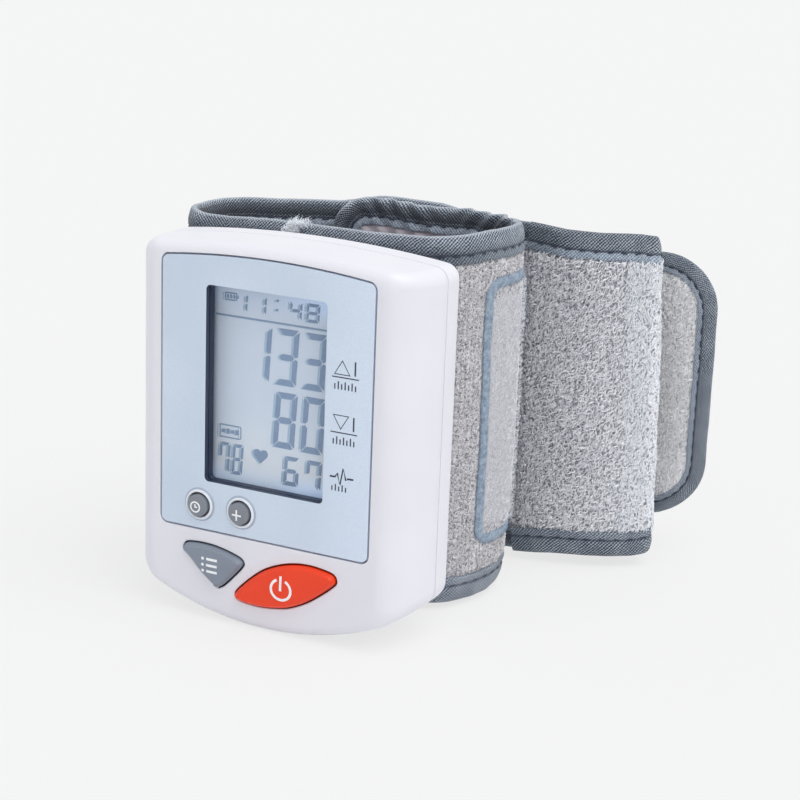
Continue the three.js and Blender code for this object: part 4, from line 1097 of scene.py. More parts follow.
def marks(name, shapes, front, thickness, finish, body, slot):
    """Thin raised marks on a face. front gives the depth of the marked face at x and z, or is a number."""
    depth = front if callable(front) else lambda x, z: front
    shape = bmesh.new()
    for outline in shapes:
        shape.faces.new([shape.verts.new(place((x, depth(x, z) - thickness, z))[0]) for x, z in outline])
    bmesh.ops.remove_doubles(shape, verts=shape.verts, dist=2e-6)
    made = bmesh.ops.extrude_face_region(shape, geom=list(shape.faces))
    moved = [v for v in made["geom"] if isinstance(v, bmesh.types.BMVert)]
    bmesh.ops.translate(shape, vec=(0, (thickness + 0.02) / 1000, 0), verts=moved)
    bmesh.ops.recalc_face_normals(shape, faces=shape.faces)
    mesh = bpy.data.meshes.new(name)
    shape.to_mesh(mesh)
    shape.free()
    mesh.materials.append(finish)
    obj = bpy.data.objects.new(name, mesh)
    scene_objects.link(obj)
    finish_piece(obj, body, slot)


digit_bars = {
    "0": "abcdef", "1": "bc", "3": "abcdg", "4": "bcfg", "6": "acdefg", "7": "abcf", "8": "abcdefg",
}
display_slant = 0.058


def digit(figure, x, z, width, height, bar, gap):
    """Bars of a seven-bar figure whose lower left corner is at x and z."""
    w, h, t, g = width, height, bar, gap / 2
    m = h / 2
    upper = [(0, h - g * 2), (t - g, h - t - g), (t - g, m + t / 2 + g), (t * 0.45, m + g), (0, m + t * 0.35)]
    lower = [(0, g * 2), (0, m - t * 0.35), (t * 0.45, m - g), (t - g, m - t / 2 - g), (t - g, t + g)]
    shapes = {
        "a": [(g * 2, h), (w - g * 2, h), (w - t, h - t), (t, h - t)],
        "d": [(t, t), (w - t, t), (w - g * 2, 0), (g * 2, 0)],
        "f": upper,
        "e": lower,
        "b": [(w - u, v) for u, v in [upper[0], *upper[:0:-1]]],
        "c": [(w - u, v) for u, v in [lower[0], *lower[:0:-1]]],
        "g": [
            (t * 0.55 + g, m), (t + g, m + t / 2), (w - t - g, m + t / 2),
            (w - t * 0.55 - g, m), (w - t - g, m - t / 2), (t + g, m - t / 2),
        ],
    }
    return [[(x + u + display_slant * v, z + v) for u, v in shapes[name]] for name in digit_bars[figure]]


def heart(x, z, width, height):
    points = []
    for a in np.linspace(0, 2 * math.pi, 41)[:-1]:
        u = 16 * math.sin(a) ** 3
        v = 13 * math.cos(a) - 5 * math.cos(2 * a) - 2 * math.cos(3 * a) - math.cos(4 * a)
        points.append((x + u / 32 * width, z + (v + 2.5) / 29 * height))
    return points


display_figures = [
    ("1", -6.9, 48.75, 5.4, 11.0, 1.15, 0.25), ("3", -0.35, 48.75, 4.75, 11.0, 1.2, 0.25),
    ("3", 5.6, 48.75, 4.85, 11.0, 1.2, 0.25), ("8", -0.35, 36.4, 4.65, 11.0, 1.2, 0.25),
    ("0", 5.75, 36.4, 4.7, 11.0, 1.2, 0.25), ("1", -8.85, 61.75, 2.35, 3.6, 0.56, 0.2),
    ("1", -4.75, 61.75, 2.35, 3.6, 0.56, 0.2), ("4", 2.7, 61.75, 2.6, 3.6, 0.56, 0.2),
    ("8", 6.3, 61.75, 2.8, 3.6, 0.56, 0.2), ("7", -12.35, 29.35, 2.3, 6.1, 0.62, 0.2),
    ("8", -9.4, 29.35, 2.3, 6.1, 0.62, 0.2), ("6", 2.1, 29.25, 3.25, 5.75, 0.78, 0.2),
    ("7", 7.0, 29.25, 3.25, 5.75, 0.78, 0.2),
]


def make_display():
    """Figures and signs of the display, each over the faint shade that it throws on the reflector."""
    shapes = [bar for figure in display_figures for bar in digit(*figure)]
    shapes += [rounded_box(0.5, 0.45, 0.1, x, z, 3) for x, z in ((0.05, 63.1), (0.15, 64.9))]
    shapes += [heart(-2.95, 33.8, 3.2, 3.0), oblong(-13.4, 12.8, 60.5, 60.82)]
    shapes += stroke(rounded_box(4.7, 2.45, 0.25, -9.8, 37.75, 3), 0.22, True)
    shapes += [rounded_box(0.75, 1.0 if k % 2 else 0.7, 0.12, -11.3 + k, 37.75, 3) for k in range(4)]
    shapes += stroke(rounded_box(2.5, 1.35, 0.2, -10.05, 64.4, 3), 0.22, True)
    shapes.append(oblong(-8.65, -8.4, 64.1, 64.7))
    shapes += [rounded_box(0.42, 0.75, 0.08, -10.8 + 0.72 * k, 64.4, 2) for k in range(3)]
    shade = [[(x - 0.55, z - 0.14) for x, z in outline] for outline in shapes]
    marks("display_shade", shade, 4.19, 0.01, crystal_shade, "housing", "lcd_glass")
    marks("display_figures", shapes, 4.15, 0.02, crystal_ink, "housing", "lcd_glass")


def tick_row(x, z, count, pitch, height):
    lefts = [x + k * pitch for k in range(count)]
    return [oblong(left, left + 0.26, z, z + height * (1 if k % 2 else 0.7)) for k, left in enumerate(lefts)]


pulse_wave = [
    (14.5, 34.3), (15.6, 34.3), (16.1, 35.1), (16.7, 32.9),
    (17.3, 36.1), (17.9, 33.9), (18.3, 34.3), (19.5, 34.3),
]


def make_labels():
    shapes = []
    for z, up in ((53.5, 1), (42.95, -1)):
        base = z + (0.55 if up > 0 else 3.3)
        shapes += stroke([(14.9, base), (18.1, base), (16.5, base + 2.6 * up)], 0.32, True)
        shapes += stroke([(19.2, z + 0.6), (19.2, z + 1.9), (19.2, z + 3.3)], 0.32)
        shapes += stroke([(14.4, z), (17.2, z), (20, z)], 0.22)
        shapes += tick_row(14.9, z - 2.3, 7, 0.72, 1.5)
    shapes += stroke(pulse_wave, 0.36) + tick_row(14.9, 31.6, 5, 0.72, 1.3)
    marks("side_labels", shapes, 0, 0.015, label_ink, "housing", "faceplate_blue")


def make_round_key_marks():
    x, z = round_keys["clock"] - 0.28, round_key_z - 0.27
    shapes = stroke(disc(x, z, 1.0, 40), 0.3, True)
    shapes += stroke([(x, z + 0.62), (x, z + 0.3), (x, z)], 0.26)
    shapes += stroke([(x - 0.13, z), (x + 0.2, z), (x + 0.5, z)], 0.26)
    marks("clock_mark", shapes, round_key_front(round_keys["clock"]), 0.03, key_ink, "clock_key", "key_grey")
    x, z = round_keys["plus"] - 0.24, round_key_z - 0.24
    shapes = stroke([(x - 1.02, z), (x - 0.5, z), (x - 0.17, z)], 0.34)
    shapes += stroke([(x + 0.17, z), (x + 0.5, z), (x + 1.02, z)], 0.34)
    shapes += stroke([(x, z + up) for up in (-1.08, -0.6, 0, 0.6, 1.08)], 0.34)
    marks("plus_mark", shapes, round_key_front(round_keys["plus"]), 0.03, key_ink, "plus_key", "key_grey")


def key_mark_depth(place_on_face, outline):
    """Depth of a large key's face under a mark at x and z."""
    centre = np.array(place_on_face)
    rim = np.array(grown(outline, -key_bevel)) - centre
    angles = np.arctan2(rim[:, 1], rim[:, 0])
    order = np.argsort(angles)
    reach = np.linalg.norm(rim, axis=1)

    def depth(x, z):
        dx, dz = x - centre[0], z - centre[1]
        edge = np.interp(math.atan2(dz, dx), angles[order], reach[order], period=2 * math.pi)
        return key_front(min(math.hypot(dx, dz) / edge, 1)) - 0.01

    return depth


def make_large_key_marks():
    x, z = -10.8, 11.75
    lines = []
    for k in (-1, 0, 1):
        lines += stroke([(x - 0.75 + 0.6 * t, z + 1.25 * k) for t in range(5)], 0.5)
        lines.append(disc(x - 1.6, z + 1.25 * k, 0.32, 12))
    front = key_mark_depth(memory_place, memory_outline)
    marks("memory_mark", lines, front, 0.02, key_ink, "memory_key", "memory_grey")
    x, z = 5.23, 10.05
    ring = [(x + 2.15 * math.sin(a), z + 2.05 * math.cos(a)) for a in np.radians(np.linspace(26, 334, 45))]
    shapes = stroke(ring, 0.52) + stroke([(x - 0.1, z + 2.75 - 0.5 * k) for k in range(7)], 0.5)
    front = key_mark_depth(power_place, power_outline)
    marks("power_mark", shapes, front, 0.02, key_ink, "power_key", "power_orange")


# Cloth

cuff_height = 75.8
middle_z = cuff_height / 2
cloth_thickness = 2.4
cloth_face = cloth_thickness / 2
tape_depth = 5.6
stitch_depth = 3.9
front_y = 25.2
route_step, rim_step = 0.35, 0.5


def walked(x, y, heading, moves):
    """Spots along runs and round bends, each with its heading in degrees."""
    spots = [(x, y, heading)]
    for way, *sizes in moves:
        x, y, heading = spots[-1]
        ahead, across = math.cos(math.radians(heading)), math.sin(math.radians(heading))
        if way == "run":
            length = sizes[0]
            count = max(1, math.ceil(length / route_step))
            for k in range(1, count + 1):
                spots.append((x + ahead * length * k / count, y + across * length * k / count, heading))
            continue
        radius, angle = sizes
        side = 1 if way == "left" else -1
        centre_x, centre_y = x - side * radius * across, y + side * radius * ahead
        count = max(4, math.ceil(radius * math.radians(angle) / route_step))
        for k in range(1, count + 1):
            now = heading + side * angle * k / count
            turn = math.radians(now)
            x, y = centre_x + side * radius * math.sin(turn), centre_y - side * radius * math.cos(turn)
            spots.append((x, y, now))
    return np.array(spots)


class Route:
    """A line seen from above, measured along its length."""

    def __init__(self, spots):
        self.x, self.y, self.heading = spots.T
        self.s = np.concatenate([[0], np.cumsum(np.hypot(np.diff(self.x), np.diff(self.y)))])
        self.length = self.s[-1]

    def at(self, s, d, z):
        """Points at distances along, offsets to the left and heights."""
        s, d, z = np.broadcast_arrays(s, d, z)
        turn = np.radians(np.interp(s, self.s, self.heading))
        x = np.interp(s, self.s, self.x) - np.sin(turn) * d
        y = np.interp(s, self.s, self.y) + np.cos(turn) * d
        return np.stack([x, y, z], -1)


fold_radius, fold_angle, return_length = 1.8, 130, 23
left_moves = [("run", 28.9), ("right", 5.5, 90), ("run", 3), ("right", 12, 50)]
right_moves = [
    ("run", 6.3), ("left", 60, 10), ("left", 14, 50), ("left", 24, 30), ("left", 11.893, 90), ("run", 21.63),
    ("left", 9, 40), ("run", 6),
]
strap_moves = [("run", 28), ("right", 10, 35), ("run", 34), ("left", 31, 37)]
flap_moves = [("left", fold_radius, fold_angle), ("run", return_length), ("right", 1.9, 170), ("run", 34.5)]

left_spots = walked(0, front_y, 180, left_moves)
right_spots = walked(0, front_y, 0, right_moves)
hinge = left_spots[-1]
cuff_route = Route(np.concatenate([(right_spots + (0, 0, 180))[::-1][:-1], left_spots]))
wrap_route = Route(walked(0, front_y, 180, left_moves + strap_moves))
band_route = Route(walked(*hinge, strap_moves + flap_moves))

front_middle = Route(right_spots).length
split_s = front_middle + 24
wrap_start = 24
wrap_hinge = Route(left_spots).length
wrap_end = wrap_hinge + 62
band_first = 62
flap_first = wrap_route.length - wrap_hinge
return_end = flap_first + math.radians(fold_angle) * fold_radius + return_length
band_end = band_route.length

lattice = np.random.default_rng(11).random((64, 64))


def value_noise(u, v, cell, shift=0):
    """Smooth random values from 0 to 1 over a plane, with one value for each cell."""
    u = np.asarray(u, float) / cell + 17.3 * shift
    v = np.asarray(v, float) / cell + 9.1 * shift
    i, j = np.floor(u).astype(int), np.floor(v).astype(int)
    a, b = u - i, v - j
    a, b = a * a * (3 - 2 * a), b * b * (3 - 2 * b)

    def corner(p, q):
        return lattice[p % 64, q % 64]

    near = corner(i, j) * (1 - a) + corner(i + 1, j) * a
    far = corner(i, j + 1) * (1 - a) + corner(i + 1, j + 1) * a
    return near * (1 - b) + far * b


def sway(s, z, shift):
    """Slow unevenness of the cloth, square to its face."""
    return 0.5 * (value_noise(s, z, 17, shift) + 0.5 * value_noise(s, z, 7, shift + 3) - 0.75)


def through(pairs):
    """A function that runs straight from each place and value to the next."""
    places, values = zip(*pairs)
    return lambda s: np.interp(s, places, values)


class Strip:
    """One length of the cuff's cloth on its route. heights says how tall it is, rise and lift how far its
    upper and lower rims are raised, and fold, tuck and lean how it strays from the route.
    """

    def __init__(self, route, start, end, heights, shift, corner=0.0, round_end=None):
        self.route, self.start, self.end = route, start, end
        self.heights, self.shift = through(heights), shift
        self.corner, self.round_end = corner, round_end
        self.middle = middle_z
        self.rise = self.lift = self.tuck = lambda s: 0 * s
        self.fold = self.lean = lambda s, z: 0 * s
        self.lean_way = np.zeros(3)
        self.tape_share = lambda s: 1.0

    def at(self, s, d, z):
        s, d, z = np.broadcast_arrays(np.asarray(s, float), np.asarray(d, float), np.asarray(z, float))
        high, low = (np.clip(side * (z - middle_z) / middle_z, 0, 1) for side in (1, -1))
        out = sway(s, z, self.shift) + self.fold(s, z) * high ** 4 - self.tuck(s) * low ** 2
        points = self.route.at(s, d + out, z + self.rise(s) * high + self.lift(s) * low)
        return points + self.lean(s, z)[..., None] * self.lean_way

    def half(self, s, inset):
        """Half the height at s, less the inset and what a round corner takes away."""
        half = self.heights(np.asarray(s, float)) / 2 - inset
        if self.round_end is None:
            return half
        radius = np.maximum(self.corner - inset, 0.3)
        distance = np.abs(self.round_end - s) - inset
        left = radius - np.clip(distance, 0, radius)
        return half - (radius - np.sqrt(np.maximum(radius ** 2 - left ** 2, 0)))

    def rim(self):
        """The rim as distances along and heights, from the top of the plain end round to its bottom."""
        toward = 1 if self.round_end == self.end else -1
        plain = self.start if toward == 1 else self.end
        radius = self.corner
        centre_s = self.round_end - toward * radius
        top = [(s, middle_z + self.heights(s) / 2) for s in np.arange(plain, centre_s, toward * rim_step)]
        high = middle_z + self.heights(self.round_end) / 2
        for angle in np.radians(np.linspace(0, 90, 14)):
            along, up = radius * math.sin(angle), radius * math.cos(angle)
            top.append((centre_s + toward * along, high - radius + up))
        side = np.arange(high - radius - rim_step, 2 * middle_z - high + radius, -rim_step)
        bottom = [(s, 2 * middle_z - z) for s, z in reversed(top)]
        return np.array(top + [(self.round_end, z) for z in side] + bottom)

    def edges(self):
        """The upper and the lower rim of a strip that is plain at both ends."""
        stations = np.arange(self.start, self.end + rim_step / 2, rim_step)
        half = self.heights(stations) / 2
        return [np.stack([stations, middle_z + side * half], 1) for side in (1, -1)]


cuff_strip = Strip(cuff_route, 0, split_s, [(0, cuff_height), (split_s, cuff_height)], 1, 6.5, 0)
cuff_strip.rise = through([
    (0, 0), (3, 0.3), (7, 0.7), (13, 0.85), (21, 0.25), (27, 0.35),
    (31, 0.8), (35.5, 0.3), (39, 0.6), (42, 0.4),
    (46, 0.5), (50, 0.85), (61, 0.8), (66, 0.5), (74, 0.15), (front_middle, 0), (front_middle + 14, 0),
    (front_middle + 24, -0.75),
])
cuff_strip.fold = lambda s, z: (
    -0.7 * (1 + np.sin(1.4 * (s - 0.8 * (cuff_height - z)))) * np.clip(1.7 - np.abs(s - 15) / 7, 0, 1)
    + 0.8 * np.sin(1.5 * (s + 0.7 * (cuff_height - z))) * np.clip(1.7 - np.abs(s - 37) / 6, 0, 1)
)
cuff_strip.lift = through([(0, 1.3), (front_middle - 18, 1.3), (front_middle, 0.5)])
cuff_strip.tuck = through([(front_middle - 75, 0.4), (front_middle - 45, 1.2), (front_middle - 25, 0)])

wrap_heights = [
    (0, cuff_height), (wrap_hinge, cuff_height), (wrap_hinge + 68.109, 71), (wrap_route.length, 69.6),
]
wrap_strip = Strip(wrap_route, wrap_start, wrap_end, wrap_heights, 2)
wrap_strip.rise = through([
    (24, -0.75), (29, -0.75), (35, 0), (wrap_hinge + 20, 0), (wrap_hinge + 28, 1.2), (wrap_hinge + 42, 1.3),
    (wrap_hinge + 50, 0),
])

band_heights = [
    (0, cuff_height), (62, 71.6), (70, 70), (flap_first - 2, 69.4), (flap_first + 2, 68.2),
    (flap_first + 4.1, 67.6), (return_end, 58.2), (300, 58.2),
]
band_strip = Strip(band_route, band_first, band_end, band_heights, 2, 12.1, band_end)
band_strip.tape_share = through([(flap_first + 4, 1), (return_end, 0.72)])
band_strip.lift = through([
    (flap_first, -0.7), (return_end, 0), (band_end - 13, 0), (band_end - 5, 1.4), (band_end, 2.2),
])
leaning = through([(68, 0), (flap_first - 1, 1), (flap_first + 5, 1), (return_end, 0)])
band_strip.lean = lambda s, z: 0.0375 * (46 - z) * leaning(s)
fold_heading = math.radians(np.interp(flap_first, band_route.s, band_route.heading))
band_strip.lean_way = np.array([math.cos(fold_heading), math.sin(fold_heading), 0])

tape_profile = [
    (1.1, 5.6), (1.34, 5.54), (1.42, 5.35), (1.4, 4.9), (1.33, 4.5), (1.18, 4.15), (1.08, 3.9), (1.12, 3.65),
    (1.22, 3.3), (1.24, 2.7), (1.16, 2.0), (1.02, 1.4), (0.86, 0.85), (0.68, 0.4), (0.42, 0.1), (0, 0),
]
tape_reach = [0.0]
for (d0, h0), (d1, h1) in zip(tape_profile[::-1], tape_profile[-2::-1]):
    tape_reach.append(tape_reach[-1] + math.hypot(d1 - d0, h1 - h0))
tape_reach = tape_reach[:0:-1] + tape_reach
tape_section = tape_profile + [(-d, h) for d, h in reversed(tape_profile[:-1])]


def rim_frame(path):
    """Distances along a rim, and its inward directions in the plane of the cloth."""
    lengths = np.concatenate([[0], np.cumsum(np.linalg.norm(np.diff(path, axis=0), axis=1))])
    along = np.gradient(path, axis=0)
    along /= np.linalg.norm(along, axis=1)[:, None]
    inward = np.stack([-along[:, 1], along[:, 0]], 1)
    towards_middle = np.array([path[:, 0].mean(), middle_z]) - path
    return lengths, inward if np.sum(inward * towards_middle) >= 0 else -inward


def tape_rings(strip, path):
    """Sections of the folded tape along a rim, gently puckered, and their places on the tape."""
    rings, places = [], []
    lengths, inward = rim_frame(path)
    for (s, z), (si, zi), u in zip(path, inward, lengths):
        pucker = 0.35 * (value_noise(u, 0, 5, 6) + 0.6 * value_noise(u, 2, 2.4, 3) - 0.8)
        swell = 1 + 0.2 * (value_noise(u, 3, 2.1, 8) - 0.5)
        edge = 0.3 * (value_noise(u, 7, 1.3, 4) - 0.5) + 0.25 * (value_noise(u, 9, 0.6, 7) - 0.5)
        slack = 0.2 * (value_noise(u, 11, 6, 5) - 0.5)
        ring, spot = [], []
        for (d, h), reach in zip(tape_section, tape_reach):
            deep = h * strip.tape_share(s) + (edge * (h - 4.2) / 1.4 if h > 4.2 else 0) + slack
            ring.append((s + si * deep, d * swell + pucker * (1 - h / 6.2), z + zi * deep))
            spot.append((u, reach))
        rings.append(ring)
        places.append(spot)
    rings = np.array(rings)
    return strip.at(rings[..., 0], rings[..., 1], rings[..., 2]), np.array(places)


def make_tape(name, strip, paths, finishes, pressed_from):
    """The folded tape along rims, with a finish for each side. Beyond pressed_from it wears the third."""
    points, faces, uv, finish_of_face, first = [], [], [], [], 0
    for path in paths:
        rings, places = tape_rings(strip, path)
        rows, columns = rings.shape[:2]
        faces += [[i + first for i in face] for face in tube_faces(rows, columns)]
        inner = [int(i > columns // 2 + 2) for i in range(columns)]
        for s in path[:-1, 0]:
            finish_of_face += inner if s < pressed_from else [2] * columns
        finish_of_face += [0, 0]
        points.append(rings.reshape(-1, 3))
        uv.append(places.reshape(-1, 2))
        first += rows * columns
    points, uv = np.concatenate(points), np.concatenate(uv)
    return face_outwards(mesh_object(name, points, faces, finishes, uv, finish_of_face, 70))


def capsule(along, up, out, length, radius):
    """Points of a short thread end to end, and its faces."""
    points = []
    for t, r in ((-0.5, 0.25), (-0.42, 0.8), (-0.2, 1), (0.2, 1), (0.42, 0.8), (0.5, 0.25)):
        for a in 2 * math.pi * np.arange(6) / 6:
            points.append(along * length * t + (up * math.cos(a) + out * math.sin(a)) * radius * r)
    return np.array(points), tube_faces(6, 6)


stitch_pitch, stitch_length, stitch_radius = 2.9, 1.3, 0.16


def make_stitches(name, strip, paths):
    """Short, slightly slanting stitches on both sides of the tape."""
    points, faces, first = [], [], 0
    for path in paths:
        lengths, inward = rim_frame(path)
        for u in np.arange(stitch_pitch, lengths[-1] - stitch_pitch / 2, stitch_pitch):
            s, z, si, zi = (np.interp(u, lengths, v) for v in (*path.T, *inward.T))
            s2, z2 = (np.interp(u + 0.5, lengths, v) for v in path.T)
            deep = stitch_depth * strip.tape_share(s)
            for side in (1, -1):
                here = strip.at(s + si * deep, side * cloth_face, z + zi * deep).reshape(3)
                ahead = strip.at(s2 + si * deep, side * cloth_face, z2 + zi * deep).reshape(3)
                lift = strip.at(s + si * deep, side * (cloth_face + 1), z + zi * deep).reshape(3)
                direction = (ahead - here) / max(np.linalg.norm(ahead - here), 1e-9)
                out = (lift - here) / max(np.linalg.norm(lift - here), 1e-9)
                up = np.cross(direction, out)
                slant = up * 0.4 * (value_noise(u, side, 2.3, 13) - 0.5)
                long = stitch_length * (0.8 + 0.5 * value_noise(u, side, 1.7, 12))
                body, quads = capsule(direction + slant, up, out, long, stitch_radius)
                points.append(body + here)
                faces += [[i + first for i in face] for face in quads]
                first += len(body)
    return mesh_object(name, np.concatenate(points), faces, [dark_thread], angle=80)


def closed_sheet(name, sheets, s, z, finishes, angle):
    """A closed sheet whose two sides are grids at the same places on the cloth, with a finish each."""
    rows, columns = s.shape
    front = grid_faces(rows, columns, False)
    back = [[i + s.size for i in face[::-1]] for face in front]
    rim = list(range(columns)) + [k * columns + columns - 1 for k in range(1, rows)]
    rim += [(rows - 1) * columns + k for k in range(columns - 2, -1, -1)]
    rim += [k * columns for k in range(rows - 2, 0, -1)]
    edge = [[a, b, b + s.size, a + s.size] for a, b in zip(rim, rim[1:] + rim[:1])]
    finish_of_face = [0] * len(front) + [len(finishes) > 1] * len(back) + [0] * len(edge)
    points = np.concatenate([sheet.reshape(-1, 3) for sheet in sheets])
    uv = np.tile(np.stack([s, z], -1).reshape(-1, 2), (2, 1))
    return face_outwards(mesh_object(name, points, front + back + edge, finishes, uv, finish_of_face, angle))


def make_panel(name, strip, finishes, stations, rows, roughs, inset=stitch_depth):
    """The cloth between the tapes, whose two faces are dense grids with their own roughness."""
    s = np.asarray(stations, float)[:, None]
    share = np.linspace(-1, 1, rows)[None, :]
    half = strip.half(s, inset - (1 - strip.tape_share(s)) * tape_depth)
    z = strip.middle + half * share
    s = s + np.zeros_like(z)
    bare = half * (1 - np.abs(share)) - 1.5
    if strip.round_end is not None:
        bare = np.minimum(bare, np.abs(strip.round_end - s) - tape_depth * strip.tape_share(s) - 0.1)
    bare = np.clip(bare, 0, 1)
    offsets = [cloth_face - 0.35 * (1 - bare) + bare * rough(s, z) for rough in roughs]
    return closed_sheet(name, [strip.at(s, offsets[0], z), strip.at(s, -offsets[1], z)], s, z, finishes, 85)


def pile_rough(shift):
    def rough(s, z):
        curls = value_noise(s, z, 0.9, shift) + 0.7 * value_noise(s + 0.4 * z, z, 0.55, shift + 2)
        return 0.3 * (curls - 0.85) + 0.12 * (value_noise(s, z, 4, shift + 5) - 0.5)
    return rough


def smooth_rough(s, z):
    return 0.15 * (value_noise(s, z, 9, 21) - 0.5)


def fasten(obj, strip, slot, *stands_for):
    """Bakes a piece of the strap into place, or makes a piece of the cuff ride on the housing, and hides the
    nodes that it stands for. The strap's start crosses the hinge line at the end of the loop, and its end the
    fold.
    """
    if strip is wrap_strip:
        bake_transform(obj)
    elif strip is band_strip:
        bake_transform(obj)
    else:
        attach(obj, "housing")
    name_slot(stands_for)


def dress_rims(name, strip, paths, finishes, *stands_for, pressed_from=math.inf):
    """The tape along a strip's rims and the stitches that hold it."""
    tapes = make_tape(name + "_tape", strip, paths, finishes, pressed_from)
    fasten(tapes, strip, "binding_slate", *stands_for)
    fasten(make_stitches(name + "_stitches", strip, paths), strip, "binding_slate")


patch_end = front_middle - 32
patch_start = patch_end - 38
patch_height = 55.4
patch_z = middle_z + 1.1
patch_border_width = 1.95
patch_middle = (patch_start + patch_end) / 2
patch_length = patch_end - patch_start


def past_patch(s, z):
    """How far a place on the cuff lies outside the patch."""
    return np.maximum(np.abs(s - patch_middle) - patch_length / 2, np.abs(z - patch_z) - patch_height / 2)


def cuff_rough(s, z):
    """Pile that lies pressed down where the patch is sewn on it."""
    free = np.clip(past_patch(s, z) / 0.5, 0, 1)
    return pile_rough(1)(s, z) * free - 0.1 * (1 - free)


def make_cuff():
    stations, roughs = np.linspace(stitch_depth, split_s, 300), (cuff_rough, smooth_rough)
    cloth = make_panel("cuff_cloth", cuff_strip, [fine_pile, lining], stations, 130, roughs)
    fasten(cloth, cuff_strip, "pile_grey", "cuff_panel")
    dress_rims("cuff", cuff_strip, [cuff_strip.rim()], [tape, tape_inside_shaded], "cuff_binding")


def make_wrap():
    """Start of the strap, from inside the loop's left end past the hinge line."""
    stations, roughs = np.linspace(wrap_start, wrap_end, 250), (smooth_rough, pile_rough(6))
    cloth = make_panel("wrap_cloth", wrap_strip, [lining, wrap_pile], stations, 120, roughs)
    fasten(cloth, wrap_strip, "pile_grey")
    bindings = "strap_binding_top", "strap_binding_bottom"
    dress_rims("wrap", wrap_strip, wrap_strip.edges(), [tape, tape_inside_shaded], *bindings)


def make_band():
    """End of the strap, its fold, and the return with the tab, whose pile lies in streaks."""
    stations, rows, roughs = np.linspace(band_first, band_end - 2.4, 250), 140, (pile_rough(4), pile_rough(5))
    finishes = [curly_pile, curly_pile, streaked_pile]
    cloth = make_panel("band_cloth", band_strip, finishes, stations, rows, roughs)
    quads = (len(stations) - 1) * (rows - 1)
    for k in range(quads):
        if stations[k // (rows - 1)] > return_end:
            cloth.data.polygons[quads + k].material_index = 2
    fasten(cloth, band_strip, "pile_grey", "strap_panel", "strap_fold", "tab_panel")
    finishes = [tape_shaded, tape_loop_shadow, tape_pressed]
    rim = band_strip.rim()
    dress_rims("band", band_strip, [rim], finishes, "tab_binding", pressed_from=return_end + 3)


def even_outline(points, step):
    """A closed outline with points at least every step."""
    made = []
    for (x0, z0), (x1, z1) in zip(points, points[1:] + points[:1]):
        count = max(1, math.ceil(math.hypot(x1 - x0, z1 - z0) / step))
        made += [(x0 + (x1 - x0) * k / count, z0 + (z1 - z0) * k / count) for k in range(count)]
    return made


border_profile = [(0, 1.1), (0, 1.5), (0.07, 1.62), (0.5, 1.66), (0.93, 1.62), (1, 1.5), (1, 1.1)]


def make_patch():
    """Smooth pile patch sewn on the right side of the loop, with its welded border."""
    inset = patch_border_width - 0.3
    strip = Strip(cuff_route, patch_start, patch_end, [(0, patch_height), (split_s, patch_height)], 1)
    strip.middle, strip.tuck, strip.lift = patch_z, cuff_strip.tuck, cuff_strip.lift
    stations = np.linspace(patch_start + inset, patch_end - inset, 110)
    roughs = (lambda s, z: 0.32 + 0.12 * (value_noise(s, z, 0.8, 9) - 0.5), lambda s, z: -0.4 + 0 * s)
    cloth = make_panel("patch_cloth", strip, [smooth_pile, smooth_pile], stations, 120, roughs, inset)
    fasten(cloth, strip, "pile_grey", "pile_patch")
    outline = even_outline(rounded_box(patch_length, patch_height, 4.2, patch_middle, patch_z, 10), 0.7)
    inner = grown(outline, -patch_border_width)
    rings = []
    for k, (low, high) in enumerate(zip(np.array(outline), np.array(inner))):
        ragged = 0.25 * (value_noise(k * 0.7, 3, 1.7, 15) - 0.5)
        section = []
        for share, d in border_profile:
            spot = low * (1 - share) + high * share + (high - low) * ragged * (share - 0.5)
            section.append(cuff_strip.at(spot[0], d, spot[1]).reshape(3))
        rings.append(section)
    fasten(hoop("patch_border", rings, [border_tape]), strip, "binding_slate")


def make_yarns(name, strip, spots, finish, seed, length, lift, radius, base, free, lean, spread):
    """Short curls of yarn on the outer face of a cloth, that lean by about so many degrees. free lets their
    ends stand up from the cloth.
    """
    rng = np.random.default_rng(seed)
    side = -1 if strip is band_strip else 1
    count, rows, sides = len(spots), 4, 3
    t = np.linspace(0, 1, rows)[None, :]
    turn = np.radians(rng.normal(lean, spread, count))[:, None]
    long = length * rng.uniform(0.55, 1.35, count)[:, None]
    bend = long * rng.uniform(-0.28, 0.28, count)[:, None]
    high = lift * rng.uniform(0.5, 1.3, count)[:, None]
    thick = radius * rng.uniform(0.75, 1.2, count)[:, None]
    arch = np.sin(math.pi * t)
    way = (t - 0.5) * long * (1 - 0.6 * free)
    s = spots[:, :1] + way * np.cos(turn) - bend * arch * np.sin(turn)
    z = spots[:, 1:] + way * np.sin(turn) + bend * arch * np.cos(turn)
    d = base + high * ((1 - free) * arch + free * t ** 0.7)
    angle = 2 * math.pi * np.arange(sides) / sides
    taper = 1 - 0.55 * np.abs(2 * t[..., None] - 1) ** 3
    across, out = (thick[..., None] * wave * taper for wave in (np.cos(angle), np.sin(angle)))
    s, d, z, turn = (v[..., None] for v in (s, d, z, turn))
    points = strip.at(s - across * np.sin(turn), side * (d + out), z + across * np.cos(turn))
    first = (np.arange(count) * rows * sides)[:, None, None]
    faces = (np.array(grid_faces(rows, sides)) + first).reshape(-1, 4).tolist()
    faces += (np.array(tube_faces(rows, sides)[-2:]) + first).reshape(-1, sides).tolist()
    return face_outwards(mesh_object(name, points.reshape(-1, 3), faces, [finish], angle=80))


def scattered(seed, count, low_s, high_s, low_z, high_z, keep=None):
    spots = np.random.default_rng(seed).uniform((low_s, low_z), (high_s, high_z), (count, 2))
    return spots if keep is None else spots[keep(spots[:, 0], spots[:, 1])]


def off_patch(s, z):
    return past_patch(s, z) > 0.3


def on_band(s, z):
    return np.abs(z - middle_z) < band_strip.half(s, tape_depth * band_strip.tape_share(s) + 0.2)


